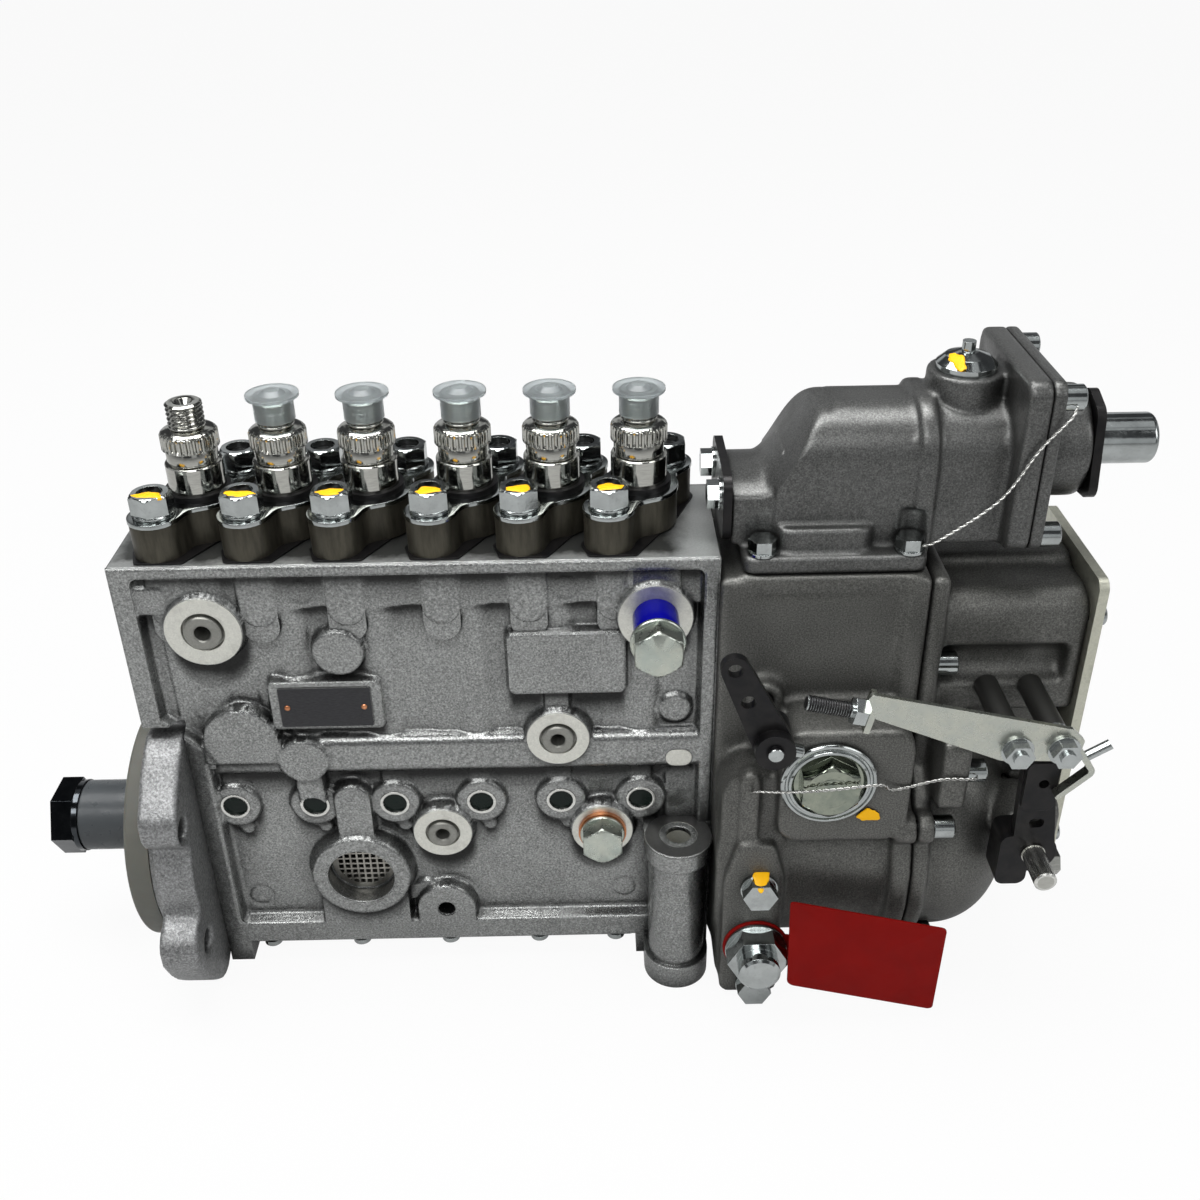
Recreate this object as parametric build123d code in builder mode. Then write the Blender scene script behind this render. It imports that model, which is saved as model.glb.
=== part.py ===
from build123d import *
import os
from math import cos, radians, sin

os.makedirs("parts", exist_ok=True)

# In-line six-cylinder diesel injection pump with a centrifugal governor.
# Row frame: X runs along the camshaft from the mounting face of the drive flange towards the
# governor, Z is up along the barrels, and the ports face -Y.

# ---------------------------------------------------------------- driving dimensions (mm)
barrel_pitch = 35.0
middle_gap = 38.0
first_barrel_x = 31.5
barrel_count = 6
rear_margin = 31.0
barrel_x = [
    first_barrel_x + index * barrel_pitch + (middle_gap - barrel_pitch if index > 2 else 0.0)
    for index in range(barrel_count)
]

body_length = barrel_x[-1] + rear_margin
body_half = 33.5
body_top = 150.0
body_base = -50.0
foot_base = -62.0
foot_length = 10.5
rim_left = 8.0
rim_right = 6.0
rim_top = 4.7
ledge_height = 10.6
wall_half = 27.0

flange_thickness = 16.5
flange_core_radius = 58.0
lobe_radius = 63.0
lobe_half_width = 13.0
flange_bolt_y = 55.0
flange_bolt_top = 36.5
flange_bolt_low = -27.5
flange_bolt_radius = 5.5
pilot_radius = 55.6
pilot_length = 3.0

cam_journal_radius = 14.0
cam_core_radius = 12.0
cam_base_radius = 12.5
cam_nose_radius = 6.0
cam_lift = 10.0
cam_width = 15.0
chamber_half = 23.5
chamber_top = 24.0
bearing_outer_radius = 24.0
bearing_width = 12.0

running = 0.05
seat_gap = 0.3

tappet_radius = 13.0
tappet_bore_top = 82.0
roller_radius = 8.0
guide_bush_z = 25.6
barrel_radius = 10.0
barrel_bottom = 93.0
plunger_radius = 5.0
sleeve_radius = 8.8
sleeve_bottom = 84.0
rack_y = 17.0
rack_travel = 7.0

ear_offset_x = 12.5
ear_offset_y = 21.0
ear_radius = 10.5
bushing_radius = 16.2
shim_thickness = 1.0
bushing_height = 13.5
clamp_thickness = 3.0

governor_length = 83.5
governor_drum_radius = 58.0
governor_wall = 5.0
governor_half = 36.0
governor_top = 141.0
seam_thickness = 9.0
cover_flange = 7.5
cover_end = body_length + 150.5
end_plate_thickness = 4.0

compensator_axis_z = 183.3
compensator_base_top = 150.0
compensator_seat = 142.6
compensator_left = body_length + 2.5
compensator_flange_left = body_length + 110.5
compensator_seam = body_length + 119.5
compensator_right = body_length + 124.5
hub_right = body_length + 143.5

governor_left = body_length
governor_seam = governor_left + governor_length


# ---------------------------------------------------------------- shared shapes
def facing_front(x, y, z):
    """Plane with its normal towards -Y, its x along X and its y along Z."""
    return Plane(origin=(x, y, z), x_dir=(1, 0, 0), z_dir=(0, -1, 0))


def facing_right(x, y, z):
    """Plane with its normal towards +X."""
    return Plane(origin=(x, y, z), x_dir=(0, 1, 0), z_dir=(1, 0, 0))


def facing_left(x, y, z):
    """Plane with its normal towards -X."""
    return Plane(origin=(x, y, z), x_dir=(0, -1, 0), z_dir=(-1, 0, 0))


def turned(points):
    """Solid of revolution about Z from (radius, height) points."""
    with BuildPart() as body:
        with BuildSketch(Plane.XZ):
            with BuildLine():
                Polyline(*points, close=True)
            make_face()
        revolve(axis=Axis.Z)
    return body.part


def hex_head_bolt(across_flats, head_height, shank_radius, shank_length, washer_radius, washer_height):
    """Bolt along Z: the washer's lower face is at height 0 and the shank goes down."""
    with BuildPart() as bolt:
        with BuildSketch(Plane.XY.offset(washer_height)):
            RegularPolygon(across_flats / 2, 6, major_radius=False)
        extrude(amount=head_height)
        with BuildSketch():
            Circle(washer_radius)
        extrude(amount=washer_height)
        with BuildSketch():
            Circle(shank_radius)
        extrude(amount=-shank_length)
    return bolt.part


def cap_screw(head_radius, head_height, shank_radius, shank_length, socket):
    """Socket head screw along Z, seated at height 0."""
    with BuildPart() as screw:
        with BuildSketch():
            Circle(head_radius)
        extrude(amount=head_height)
        chamfer(screw.edges().sort_by(Axis.Z)[-1:], length=0.6)
        with BuildSketch(Plane.XY.offset(head_height)):
            RegularPolygon(socket / 2, 6, major_radius=False)
        extrude(amount=-head_height * 0.5, mode=Mode.SUBTRACT)
        with BuildSketch():
            Circle(shank_radius)
        extrude(amount=-shank_length)
    return screw.part


def hex_nut(across_flats, height, bore, flange_radius, flange_height):
    """Flange nut along Z, seated at height 0."""
    with BuildPart() as nut:
        with BuildSketch():
            Circle(flange_radius)
        extrude(amount=flange_height)
        with BuildSketch(Plane.XY.offset(flange_height)):
            RegularPolygon(across_flats / 2, 6, major_radius=False)
        extrude(amount=height - flange_height)
        with BuildSketch(Plane.XY.offset(height)):
            Circle(bore)
        extrude(amount=-height, mode=Mode.SUBTRACT)
    return nut.part


# ---------------------------------------------------------------- pump housing
# Front ports: x, z, boss radius, recess radius, hole radius.
port_face = 34.5
port_recess_depth = 3.0
port_hole_depth = 8.0
ports = [
    (33.6, 121.0, 15.6, 9.2, 3.3),
    (174.2, 64.7, 13.4, 8.4, 3.0),
    (121.7, 14.2, 13.0, 7.9, 3.0),
]
gallery_bolt_x = 215.0
gallery_bolt_z = 123.5
gallery_boss_radius = 15.2
gallery_bolt_radius = 5.0
plug_x = 192.4
plug_z = 14.0
plug_boss_radius = 13.6
plug_thread_radius = 6.0
screen_x = 83.3
screen_z = -9.5
screen_port_radius = 15.0
screen_boss_radius = 22.5
screen_face = 36.0
screen_seat = 27.0
screen_throat = 13.0
screen_radius = 14.2
screen_thickness = 1.5
gallery_radius = 5.5
gallery_z = 60.5
guide_boss_radius = 9.0
gallery_pad_z = 55.5
gallery_pad_radius = 10.2
gallery_pad_face = 33.6
guide_boss_face = 30.0
guide_bush_radius = 6.0
bulge_radius = 14.9
bulge_centre = 15.0
rib_half = 7.5
rib_offset = 10.3
rib_base = 121.0
rib_face = 31.5
rim_corner = 3.5
rear_foot_length = 33.0
overhang_ramp = 12.0
bulge_drop = 9.0
gallery_inset = 9.0
# Flat pads on the front wall: x, z, width, height, corner radius.
flat_pads = [
    (78.3, 83.2, 46.0, 23.5, 2.0),
    (178.9, 101.7, 48.0, 29.0, 2.5),
]
# Round pads: x, z, radius.
round_pads = [
    (85.8, 108.7, 10.1),
    (40.5, 66.0, 15.5),
]
round_pad_skirt = (33.0, 15.0)
pad_face = 33.0
bracket_x = 225.5
bracket_y = -42.0
bracket_hole = 5.5
bracket_head_radius = 15.0
bracket_shank_radius = 12.6
bracket_foot_radius = 14.5
bracket_top = 17.0
drain_x = 120.0
drain_z = -32.0
drain_boss_radius = 13.0
drain_hole = 3.9
bracket_head_height = 9.0
bracket_web_back = 8.0
screen_tab = (42.0, 15.0)
arm_pocket = (25.0, 17.0)
arm_pocket_y = 8.0
barrel_seat_radius = 11.5
chamber_floor_radius = 21.0
end_bore_radius = 23.0
cover_screw_depth = 8.0
stud_radius = 4.0
stud_depth = 13.0
overhang_base = 74.0
rack_half_height = 4.0
rack_z = sleeve_bottom + 3.5
rack_low_y = 14.0
rack_high_y = 22.0
cover_screw_y = 27.8
cover_screw_radius = 2.5
cover_screw_x = [36.0, 78.0, 120.0, 162.0, 198.0]
rear_wall = 224.0
front_wall = 24.0

with BuildPart() as pump_housing:
    with BuildSketch(Plane.YZ.offset(flange_thickness)):
        with Locations((0, (body_top + body_base) / 2)):
            Rectangle(2 * body_half, body_top - body_base)
    extrude(amount=body_length - flange_thickness)
    with BuildSketch(Plane.YZ):
        with Locations((0, (body_top + overhang_base) / 2)):
            Rectangle(2 * body_half, body_top - overhang_base)
    extrude(amount=flange_thickness)
    # feet at both ends
    with BuildSketch(Plane.YZ.offset(flange_thickness)):
        with Locations((0, (foot_base + body_base) / 2)):
            Rectangle(2 * body_half, body_base - foot_base)
    extrude(amount=foot_length)
    with BuildSketch(Plane.YZ.offset(body_length - rear_foot_length)):
        with Locations((0, (foot_base + body_base) / 2)):
            Rectangle(2 * body_half, body_base - foot_base)
    extrude(amount=rear_foot_length)
    # sunken walls between the rims, front and back
    for side in (1, -1):
        with BuildSketch(Plane.XZ.offset(side * body_half)):
            with BuildLine():
                Polyline(
                    (rim_left, body_top - rim_top),
                    (rim_left, overhang_base + 3),
                    (flange_thickness + 7, overhang_base - overhang_ramp),
                    (flange_thickness + 8, body_base + ledge_height),
                    (body_length - rim_right, body_base + ledge_height),
                    (body_length - rim_right, body_top - rim_top),
                    close=True,
                )
            make_face()
            fillet(vertices(), radius=rim_corner)
        extrude(amount=-side * (body_half - wall_half), mode=Mode.SUBTRACT)
        # wide bulges round the barrels
        with BuildSketch(Plane.XY.offset(gallery_z)):
            with Locations(*[(x, -side * bulge_centre) for x in barrel_x]):
                Circle(bulge_radius)
        extrude(amount=body_top - rim_top - bulge_drop - gallery_z)
        # rounded ribs that carry the flange studs
        with BuildSketch(Plane.XZ.offset(side * (wall_half - 2))):
            with Locations(*[(x - side * rib_offset, (rib_base + body_top - 2) / 2) for x in barrel_x]):
                SlotOverall(body_top - 2 - rib_base + 2 * rib_half, 2 * rib_half, rotation=90)
            with Locations((body_length / 2, body_top + 10)):
                Rectangle(body_length + 40, 20 + 2 * rib_half, mode=Mode.SUBTRACT)
        extrude(amount=side * (rib_face - wall_half + 2))
        # fuel gallery along the wall
        with Locations(Plane.YZ.offset(flange_thickness + gallery_inset)):
            with Locations((-side * (wall_half + 0.5), gallery_z)):
                Cylinder(
                    gallery_radius,
                    body_length - rim_right - flange_thickness - gallery_inset + 1,
                    align=(Align.CENTER, Align.CENTER, Align.MIN),
                )
    # bosses on the front wall
    with BuildSketch(Plane.XZ.offset(wall_half - 2)):
        with Locations(*[(x, guide_bush_z) for x in barrel_x]):
            Circle(guide_boss_radius)
        with Locations((barrel_x[1] - 0.7, (guide_bush_z + gallery_pad_z) / 2)):
            Rectangle(gallery_pad_radius, gallery_pad_z - guide_bush_z)
    extrude(amount=guide_boss_face - wall_half + 2)
    # flat disc on the gallery above the second guide boss
    with BuildSketch(Plane.XZ.offset(wall_half - 2)):
        with Locations((barrel_x[1] - 1.5, gallery_pad_z)):
            Circle(gallery_pad_radius)
    extrude(amount=gallery_pad_face - wall_half + 2)
    with BuildSketch(Plane.XZ.offset(wall_half - 2)):
        for x, z, boss, recess, hole in ports:
            with Locations((x, z)):
                Circle(boss)
        with Locations((gallery_bolt_x, gallery_bolt_z)):
            Circle(gallery_boss_radius)
        with Locations((plug_x, plug_z)):
            Circle(plug_boss_radius)
    extrude(amount=port_face - wall_half + 2)
    # cast pads
    with BuildSketch(Plane.XZ.offset(wall_half - 2)):
        for x, z, width, height, corner in flat_pads:
            with Locations((x, z)):
                RectangleRounded(width, height, corner)
        for x, z, radius in round_pads:
            with Locations((x, z)):
                Circle(radius)
        with Locations((x, z - round_pad_skirt[1] / 2)):
            Rectangle(*round_pad_skirt)
    extrude(amount=pad_face - wall_half + 2)
    # drain boss above the lower ledge
    with BuildSketch(Plane.XZ.offset(wall_half - 2)):
        with Locations((drain_x, drain_z)):
            Circle(drain_boss_radius)
        with Locations((drain_x, (drain_z + body_base) / 2)):
            Rectangle(2 * drain_boss_radius, drain_z - body_base)
    extrude(amount=body_half - wall_half + 2)
    # inlet port with its upward tab
    with BuildSketch(Plane.XZ.offset(wall_half - 2)):
        with Locations((screen_x, screen_z)):
            Circle(screen_boss_radius)
        with Locations((screen_x, screen_z + screen_boss_radius + 2)):
            SlotOverall(*screen_tab, rotation=90)
        with Locations((screen_x, (screen_z + body_base) / 2)):
            Rectangle(2 * screen_boss_radius - 6, screen_z - body_base)
    extrude(amount=body_half - wall_half + 2)
    with BuildSketch(Plane.XZ.offset(body_half)):
        with Locations((screen_x, screen_z)):
            Circle(screen_boss_radius - 1)
    extrude(amount=screen_face - body_half)
    # bracket column at the governor end
    with BuildSketch(Plane.XY.offset(foot_base)):
        with Locations((bracket_x, bracket_y)):
            Circle(bracket_foot_radius)
        with Locations((bracket_x, bracket_y / 2 - bracket_web_back)):
            Rectangle(2 * bracket_foot_radius, -bracket_y - 2 * bracket_web_back)
    extrude(amount=body_base - foot_base)
    with BuildSketch(Plane.XY.offset(body_base)):
        with Locations((bracket_x, bracket_y)):
            Circle(bracket_shank_radius)
        with Locations((bracket_x, bracket_y / 2 - bracket_web_back)):
            Rectangle(2 * bracket_shank_radius, -bracket_y - 2 * bracket_web_back)
    extrude(amount=bracket_top - bracket_head_height - body_base)
    with BuildSketch(Plane.XY.offset(bracket_top - bracket_head_height)):
        with Locations((bracket_x, bracket_y)):
            Circle(bracket_head_radius)
        with Locations((bracket_x, bracket_y / 2 - bracket_web_back)):
            Rectangle(2 * bracket_head_radius, -bracket_y - 2 * bracket_web_back)
    extrude(amount=bracket_head_height)
    with Locations((bracket_x, bracket_y, bracket_top)):
        Hole(bracket_hole, depth=bracket_top - foot_base)
    # cam chamber, open below, and its end walls
    with BuildSketch(Plane.YZ.offset(front_wall)):
        with Locations((0, (chamber_top + body_base) / 2)):
            Rectangle(2 * chamber_half, chamber_top - body_base)
    extrude(amount=rear_wall - front_wall, mode=Mode.SUBTRACT)
    with BuildSketch(Plane.YZ.offset(flange_thickness)):
        Circle(end_bore_radius)
    extrude(amount=front_wall - flange_thickness, mode=Mode.SUBTRACT)
    with BuildSketch(Plane.YZ.offset(rear_wall)):
        Circle(chamber_floor_radius)
    extrude(amount=body_length - rear_wall, mode=Mode.SUBTRACT)
    with BuildSketch(Plane.YZ.offset(body_length)):
        Circle(bearing_outer_radius + running)
    extrude(amount=-bearing_width, mode=Mode.SUBTRACT)
    # tappet, sleeve and barrel bores
    with BuildSketch(Plane.XY.offset(chamber_top - 1)):
        with Locations(*[(x, 0) for x in barrel_x]):
            Circle(tappet_radius + running)
    extrude(amount=tappet_bore_top - chamber_top + 1, mode=Mode.SUBTRACT)
    with BuildSketch(Plane.XY.offset(tappet_bore_top)):
        with Locations(*[(x, 0) for x in barrel_x]):
            Circle(barrel_seat_radius)
    extrude(amount=barrel_bottom - tappet_bore_top, mode=Mode.SUBTRACT)
    with BuildSketch(Plane.XY.offset(body_top)):
        with Locations(*[(x, 0) for x in barrel_x]):
            Circle(barrel_radius + running)
        with Locations(*[(x - ear_offset_x, -ear_offset_y) for x in barrel_x]):
            Circle(stud_radius + running)
        with Locations(*[(x + ear_offset_x, ear_offset_y) for x in barrel_x]):
            Circle(stud_radius + running)
    extrude(amount=-stud_depth, mode=Mode.SUBTRACT)
    with BuildSketch(Plane.XY.offset(body_top)):
        with Locations(*[(x, 0) for x in barrel_x]):
            Circle(barrel_radius + running)
    extrude(amount=barrel_bottom - body_top, mode=Mode.SUBTRACT)
    # rack channel and the pockets that the sleeve arms swing in
    with BuildSketch(Plane.YZ.offset(rim_left + 6)):
        with Locations(((rack_low_y + rack_high_y) / 2, rack_z)):
            Rectangle(rack_high_y - rack_low_y + 2 * running, 2 * (rack_half_height + running))
    extrude(amount=body_length, mode=Mode.SUBTRACT)
    with BuildSketch(Plane.XY.offset(sleeve_bottom - 0.5)):
        with Locations(*[(x, arm_pocket_y) for x in barrel_x]):
            Rectangle(*arm_pocket)
    extrude(amount=barrel_bottom - sleeve_bottom + 0.5, mode=Mode.SUBTRACT)
    # bush, port, plug and screw holes
    with BuildSketch(Plane.XZ.offset(guide_boss_face)):
        with Locations(*[(x, guide_bush_z) for x in barrel_x]):
            Circle(guide_bush_radius + running)
    extrude(amount=-(guide_boss_face - tappet_radius + 4), mode=Mode.SUBTRACT)
    for x, z, boss, recess, hole in ports:
        with BuildSketch(Plane.XZ.offset(port_face)):
            with Locations((x, z)):
                Circle(recess)
        extrude(amount=-port_recess_depth, mode=Mode.SUBTRACT)
        with BuildSketch(Plane.XZ.offset(port_face)):
            with Locations((x, z)):
                Circle(hole)
        extrude(amount=-port_hole_depth, mode=Mode.SUBTRACT)
    with BuildSketch(Plane.XZ.offset(port_face)):
        with Locations((gallery_bolt_x, gallery_bolt_z)):
            Circle(gallery_bolt_radius + running)
        with Locations((plug_x, plug_z)):
            Circle(plug_thread_radius + running)
    extrude(amount=-port_hole_depth, mode=Mode.SUBTRACT)
    with BuildSketch(Plane.XZ.offset(body_half)):
        with Locations((drain_x, drain_z)):
            Circle(drain_hole)
    extrude(amount=-(body_half - chamber_half), mode=Mode.SUBTRACT)
    with BuildSketch(Plane.XZ.offset(screen_face)):
        with Locations((screen_x, screen_z)):
            Circle(screen_port_radius)
    extrude(amount=-(screen_face - screen_seat), mode=Mode.SUBTRACT)
    with BuildSketch(Plane.XZ.offset(screen_seat)):
        with Locations((screen_x, screen_z)):
            Circle(screen_radius + running)
    extrude(amount=-screen_thickness, mode=Mode.SUBTRACT)
    with BuildSketch(Plane.XZ.offset(screen_seat)):
        with Locations((screen_x, screen_z)):
            Circle(screen_throat)
    extrude(amount=-(screen_seat - chamber_half), mode=Mode.SUBTRACT)
    with BuildSketch(Plane.XY.offset(body_base)):
        for y in (-cover_screw_y, cover_screw_y):
            with Locations(*[(x, y) for x in cover_screw_x]):
                Circle(cover_screw_radius + running)
    extrude(amount=cover_screw_depth, mode=Mode.SUBTRACT)
pump_housing.part.label = "pump_housing"
export_step(pump_housing.part, "parts/pump_housing.step")

# ---------------------------------------------------------------- drive flange and its cover
# Each lobe is a wide band round an arc: middle angle and half angle, from -Z towards +Y.
lobe_arcs = [(219.5, 12.5), (306.0, 14.0), (140.5, 12.5), (54.0, 14.0)]
flange_bolts = [
    (side * flange_bolt_y, height) for side in (-1, 1) for height in (flange_bolt_top, flange_bolt_low)
]

lobe_root_fillet = 5.0
recess_outer = 50.0
recess_inner = 32.0
recess_depth = 4.0

with BuildPart() as drive_flange:
    with BuildSketch(Plane.YZ):
        Circle(flange_core_radius)
        for middle, half in lobe_arcs:
            band = CenterArc((0, 0), lobe_radius, middle - half, 2 * half, mode=Mode.PRIVATE)
            SlotArc(band, 2 * lobe_half_width)
        roots = vertices().filter_by(lambda v: abs(Vector(v).length - flange_core_radius) < 0.1)
        fillet(roots, radius=lobe_root_fillet)
    extrude(amount=flange_thickness)
    with BuildSketch(Plane.YZ):
        Circle(pilot_radius)
    extrude(amount=-pilot_length)
    with BuildSketch(Plane.YZ.offset(-pilot_length)):
        Circle(chamber_floor_radius)
    extrude(amount=pilot_length + flange_thickness, mode=Mode.SUBTRACT)
    with BuildSketch(Plane.YZ.offset(flange_thickness)):
        Circle(bearing_outer_radius + running)
    extrude(amount=-bearing_width, mode=Mode.SUBTRACT)
    with BuildSketch(Plane.YZ):
        with Locations(*flange_bolts):
            Circle(flange_bolt_radius)
    extrude(amount=flange_thickness, mode=Mode.SUBTRACT)
    # shallow ring recess in the front face
    with BuildSketch(Plane.YZ.offset(-pilot_length)):
        Circle(recess_outer)
        Circle(recess_inner, mode=Mode.SUBTRACT)
    extrude(amount=recess_depth, mode=Mode.SUBTRACT)
drive_flange.part.label = "drive_flange"
export_step(drive_flange.part, "parts/drive_flange.step")

cover_wall = 2.0
cover_radius = pilot_radius - 1.0
cover_front = -13.5
sleeve_outer = 16.2
sleeve_inner = 14.8
sleeve_start = -13.7
sleeve_end = -48.5

with BuildPart() as transit_cover:
    with BuildSketch(Plane.YZ.offset(cover_front)):
        Circle(cover_radius)
        Circle(sleeve_outer + 0.3, mode=Mode.SUBTRACT)
    extrude(amount=cover_wall)
    with BuildSketch(Plane.YZ.offset(cover_front)):
        Circle(cover_radius)
        Circle(cover_radius - cover_wall, mode=Mode.SUBTRACT)
    extrude(amount=-pilot_length - cover_front)
    # ring that plugs into the recess of the flange
    with BuildSketch(Plane.YZ.offset(cover_front)):
        Circle(recess_outer - running)
        Circle(recess_outer - cover_wall, mode=Mode.SUBTRACT)
    extrude(amount=-cover_front - 0.6)
    fillet(transit_cover.edges().group_by(Axis.X)[0].sort_by(SortBy.RADIUS)[-1:], radius=1.6)
transit_cover.part.label = "transit_cover"
export_step(transit_cover.part, "parts/transit_cover.step")

# ---------------------------------------------------------------- bottom cover and cover screws
bottom_cover_thickness = 3.0
bottom_cover_x = 117.3
bottom_cover_size = (180.0, 62.0)
with BuildPart() as bottom_cover:
    with BuildSketch(Plane.XY.offset(body_base - bottom_cover_thickness)):
        with Locations((bottom_cover_x, 0)):
            RectangleRounded(*bottom_cover_size, 3.0)
        for y in (-cover_screw_y, cover_screw_y):
            with Locations(*[(x, y) for x in cover_screw_x]):
                Circle(cover_screw_radius + running, mode=Mode.SUBTRACT)
    extrude(amount=bottom_cover_thickness)
bottom_cover.part.label = "bottom_cover"
export_step(bottom_cover.part, "parts/bottom_cover.step")

# ---------------------------------------------------------------- camshaft bearings, outer rings
bearing_race = 20.6
rear_bearing_start = body_length - bearing_width
front_bearing_start = flange_thickness - bearing_width
with BuildPart() as bearing_outer_rings:
    for start in (front_bearing_start, rear_bearing_start):
        with BuildSketch(Plane.YZ.offset(start)):
            Circle(bearing_outer_radius)
            Circle(bearing_race, mode=Mode.SUBTRACT)
        extrude(amount=bearing_width)
bearing_outer_rings.part.label = "bearing_outer_rings"
export_step(bearing_outer_rings.part, "parts/bearing_outer_rings.step")

# ---------------------------------------------------------------- barrels and what stands on them
with BuildPart() as flange_bushings:
    for x in barrel_x:
        with BuildSketch(Plane.XY.offset(body_top + shim_thickness)):
            with Locations((x, 0)):
                Circle(bushing_radius)
            with Locations((x - ear_offset_x, -ear_offset_y), (x + ear_offset_x, ear_offset_y)):
                Circle(ear_radius)
            make_hull()
        extrude(amount=bushing_height)
    fillet(flange_bushings.edges().group_by(Axis.Z)[-1], radius=0.8)
    with BuildSketch(Plane.XY.offset(body_top + shim_thickness)):
        with Locations(*[(x, 0) for x in barrel_x]):
            Circle(barrel_radius + running)
        with Locations(*[(x - ear_offset_x, -ear_offset_y) for x in barrel_x]):
            Circle(stud_radius + running)
        with Locations(*[(x + ear_offset_x, ear_offset_y) for x in barrel_x]):
            Circle(stud_radius + running)
    extrude(amount=bushing_height, mode=Mode.SUBTRACT)
flange_bushings.part.label = "flange_bushings"
export_step(flange_bushings.part, "parts/flange_bushings.step")

# Corners of a shim about its barrel.
shim_corners = [
    (-17.0, -9.0),
    (-24.0, -21.0),
    (-21.0, -31.0),
    (-2.0, -31.0),
    (17.0, 3.0),
    (24.0, 21.0),
    (21.0, 31.0),
    (2.0, 31.0),
    (-17.0, -3.0),
]
with BuildPart() as bushing_shims:
    for x in barrel_x:
        with BuildSketch(Plane.XY.offset(body_top)):
            with BuildLine():
                Polyline(*[(x + across, along) for across, along in shim_corners], close=True)
            make_face()
            fillet(vertices(), radius=2.0)
            with Locations((x, 0)):
                Circle(barrel_radius + running, mode=Mode.SUBTRACT)
            with Locations((x - ear_offset_x, -ear_offset_y), (x + ear_offset_x, ear_offset_y)):
                Circle(stud_radius + running, mode=Mode.SUBTRACT)
        extrude(amount=shim_thickness)
bushing_shims.part.label = "bushing_shims"
export_step(bushing_shims.part, "parts/bushing_shims.step")

clamp_base = body_top + shim_thickness + bushing_height
clamp_top = clamp_base + clamp_thickness
collar_radius = 13.0
stud_height = 4.6
nut_flats = 13.0
nut_height = 8.0
nut_flange_radius = 8.4
nut_flange_height = 1.8
with BuildPart() as clamp_plates:
    for x in barrel_x:
        with BuildSketch(Plane.XY.offset(clamp_base)):
            with Locations((x, 0)):
                Circle(bushing_radius)
            with Locations((x - ear_offset_x, -ear_offset_y), (x + ear_offset_x, ear_offset_y)):
                Circle(ear_radius)
            make_hull()
            with Locations((x, 0)):
                Circle(collar_radius + running, mode=Mode.SUBTRACT)
            with Locations((x - ear_offset_x, -ear_offset_y), (x + ear_offset_x, ear_offset_y)):
                Circle(stud_radius + running, mode=Mode.SUBTRACT)
        extrude(amount=clamp_thickness)
clamp_plates.part.label = "clamp_plates"
export_step(clamp_plates.part, "parts/clamp_plates.step")

ear_places = [(x - ear_offset_x, -ear_offset_y) for x in barrel_x]
ear_places += [(x + ear_offset_x, ear_offset_y) for x in barrel_x]
stud_top = clamp_top + stud_height
with BuildPart() as flange_studs:
    with BuildSketch(Plane.XY.offset(body_top - stud_depth)):
        with Locations(*ear_places):
            Circle(stud_radius)
    extrude(amount=stud_top - body_top + stud_depth)
flange_studs.part.label = "flange_studs"
export_step(flange_studs.part, "parts/flange_studs.step")

with BuildPart() as flange_nuts:
    nut = hex_nut(nut_flats, nut_height, stud_radius + running, nut_flange_radius, nut_flange_height)
    with Locations(*[(x, y, clamp_top) for x, y in ear_places]):
        add(nut)
flange_nuts.part.label = "flange_nuts"
export_step(flange_nuts.part, "parts/flange_nuts.step")

holder_base = body_top + shim_thickness + 5.0
holder_stem_radius = 9.5
band_base = 170.0
with BuildPart() as holder_collars:
    with BuildSketch(Plane.XY.offset(clamp_base)):
        with Locations(*[(x, 0) for x in barrel_x]):
            Circle(collar_radius)
            Circle(holder_stem_radius + running, mode=Mode.SUBTRACT)
    extrude(amount=band_base - clamp_base)
holder_collars.part.label = "holder_collars"
export_step(holder_collars.part, "parts/holder_collars.step")

outlet_radius = 7.0
outlet_top = 206.0
cone_top = 197.0
holder_profile = [
    (1.6, 178.0),
    (5.0, 176.0),
    (5.0, holder_base),
    (holder_stem_radius, holder_base),
    (holder_stem_radius, band_base),
    (11.0, band_base),
    (11.0, 179.5),
    (10.4, 180.0),
    (10.4, 185.0),
    (10.9, 185.5),
    (10.9, 195.0),
    (outlet_radius, cone_top),
    (outlet_radius, outlet_top - 1.0),
    (outlet_radius - 1.0, outlet_top),
    (3.4, outlet_top),
    (1.6, outlet_top - 2.6),
]
with BuildPart() as delivery_valve_holders:
    holder = turned(holder_profile)
    with Locations(*[(x, 0, 0) for x in barrel_x]):
        add(holder)
delivery_valve_holders.part.label = "delivery_valve_holders"
export_step(delivery_valve_holders.part, "parts/delivery_valve_holders.step")

cap_profile = [
    (0, 206.4),
    (outlet_radius + running, 206.4),
    (outlet_radius + running, 198.0),
    (7.9, 198.0),
    (7.9, 206.6),
    (10.4, 207.4),
    (10.4, 208.6),
    (7.2, 208.2),
    (5.2, 208.4),
    (3.0, 210.0),
    (0, 210.4),
]
with BuildPart() as delivery_caps:
    cap = turned(cap_profile)
    with Locations(*[(x, 0, 0) for x in barrel_x[1:]]):
        add(cap)
delivery_caps.part.label = "delivery_caps"
export_step(delivery_caps.part, "parts/delivery_caps.step")

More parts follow.
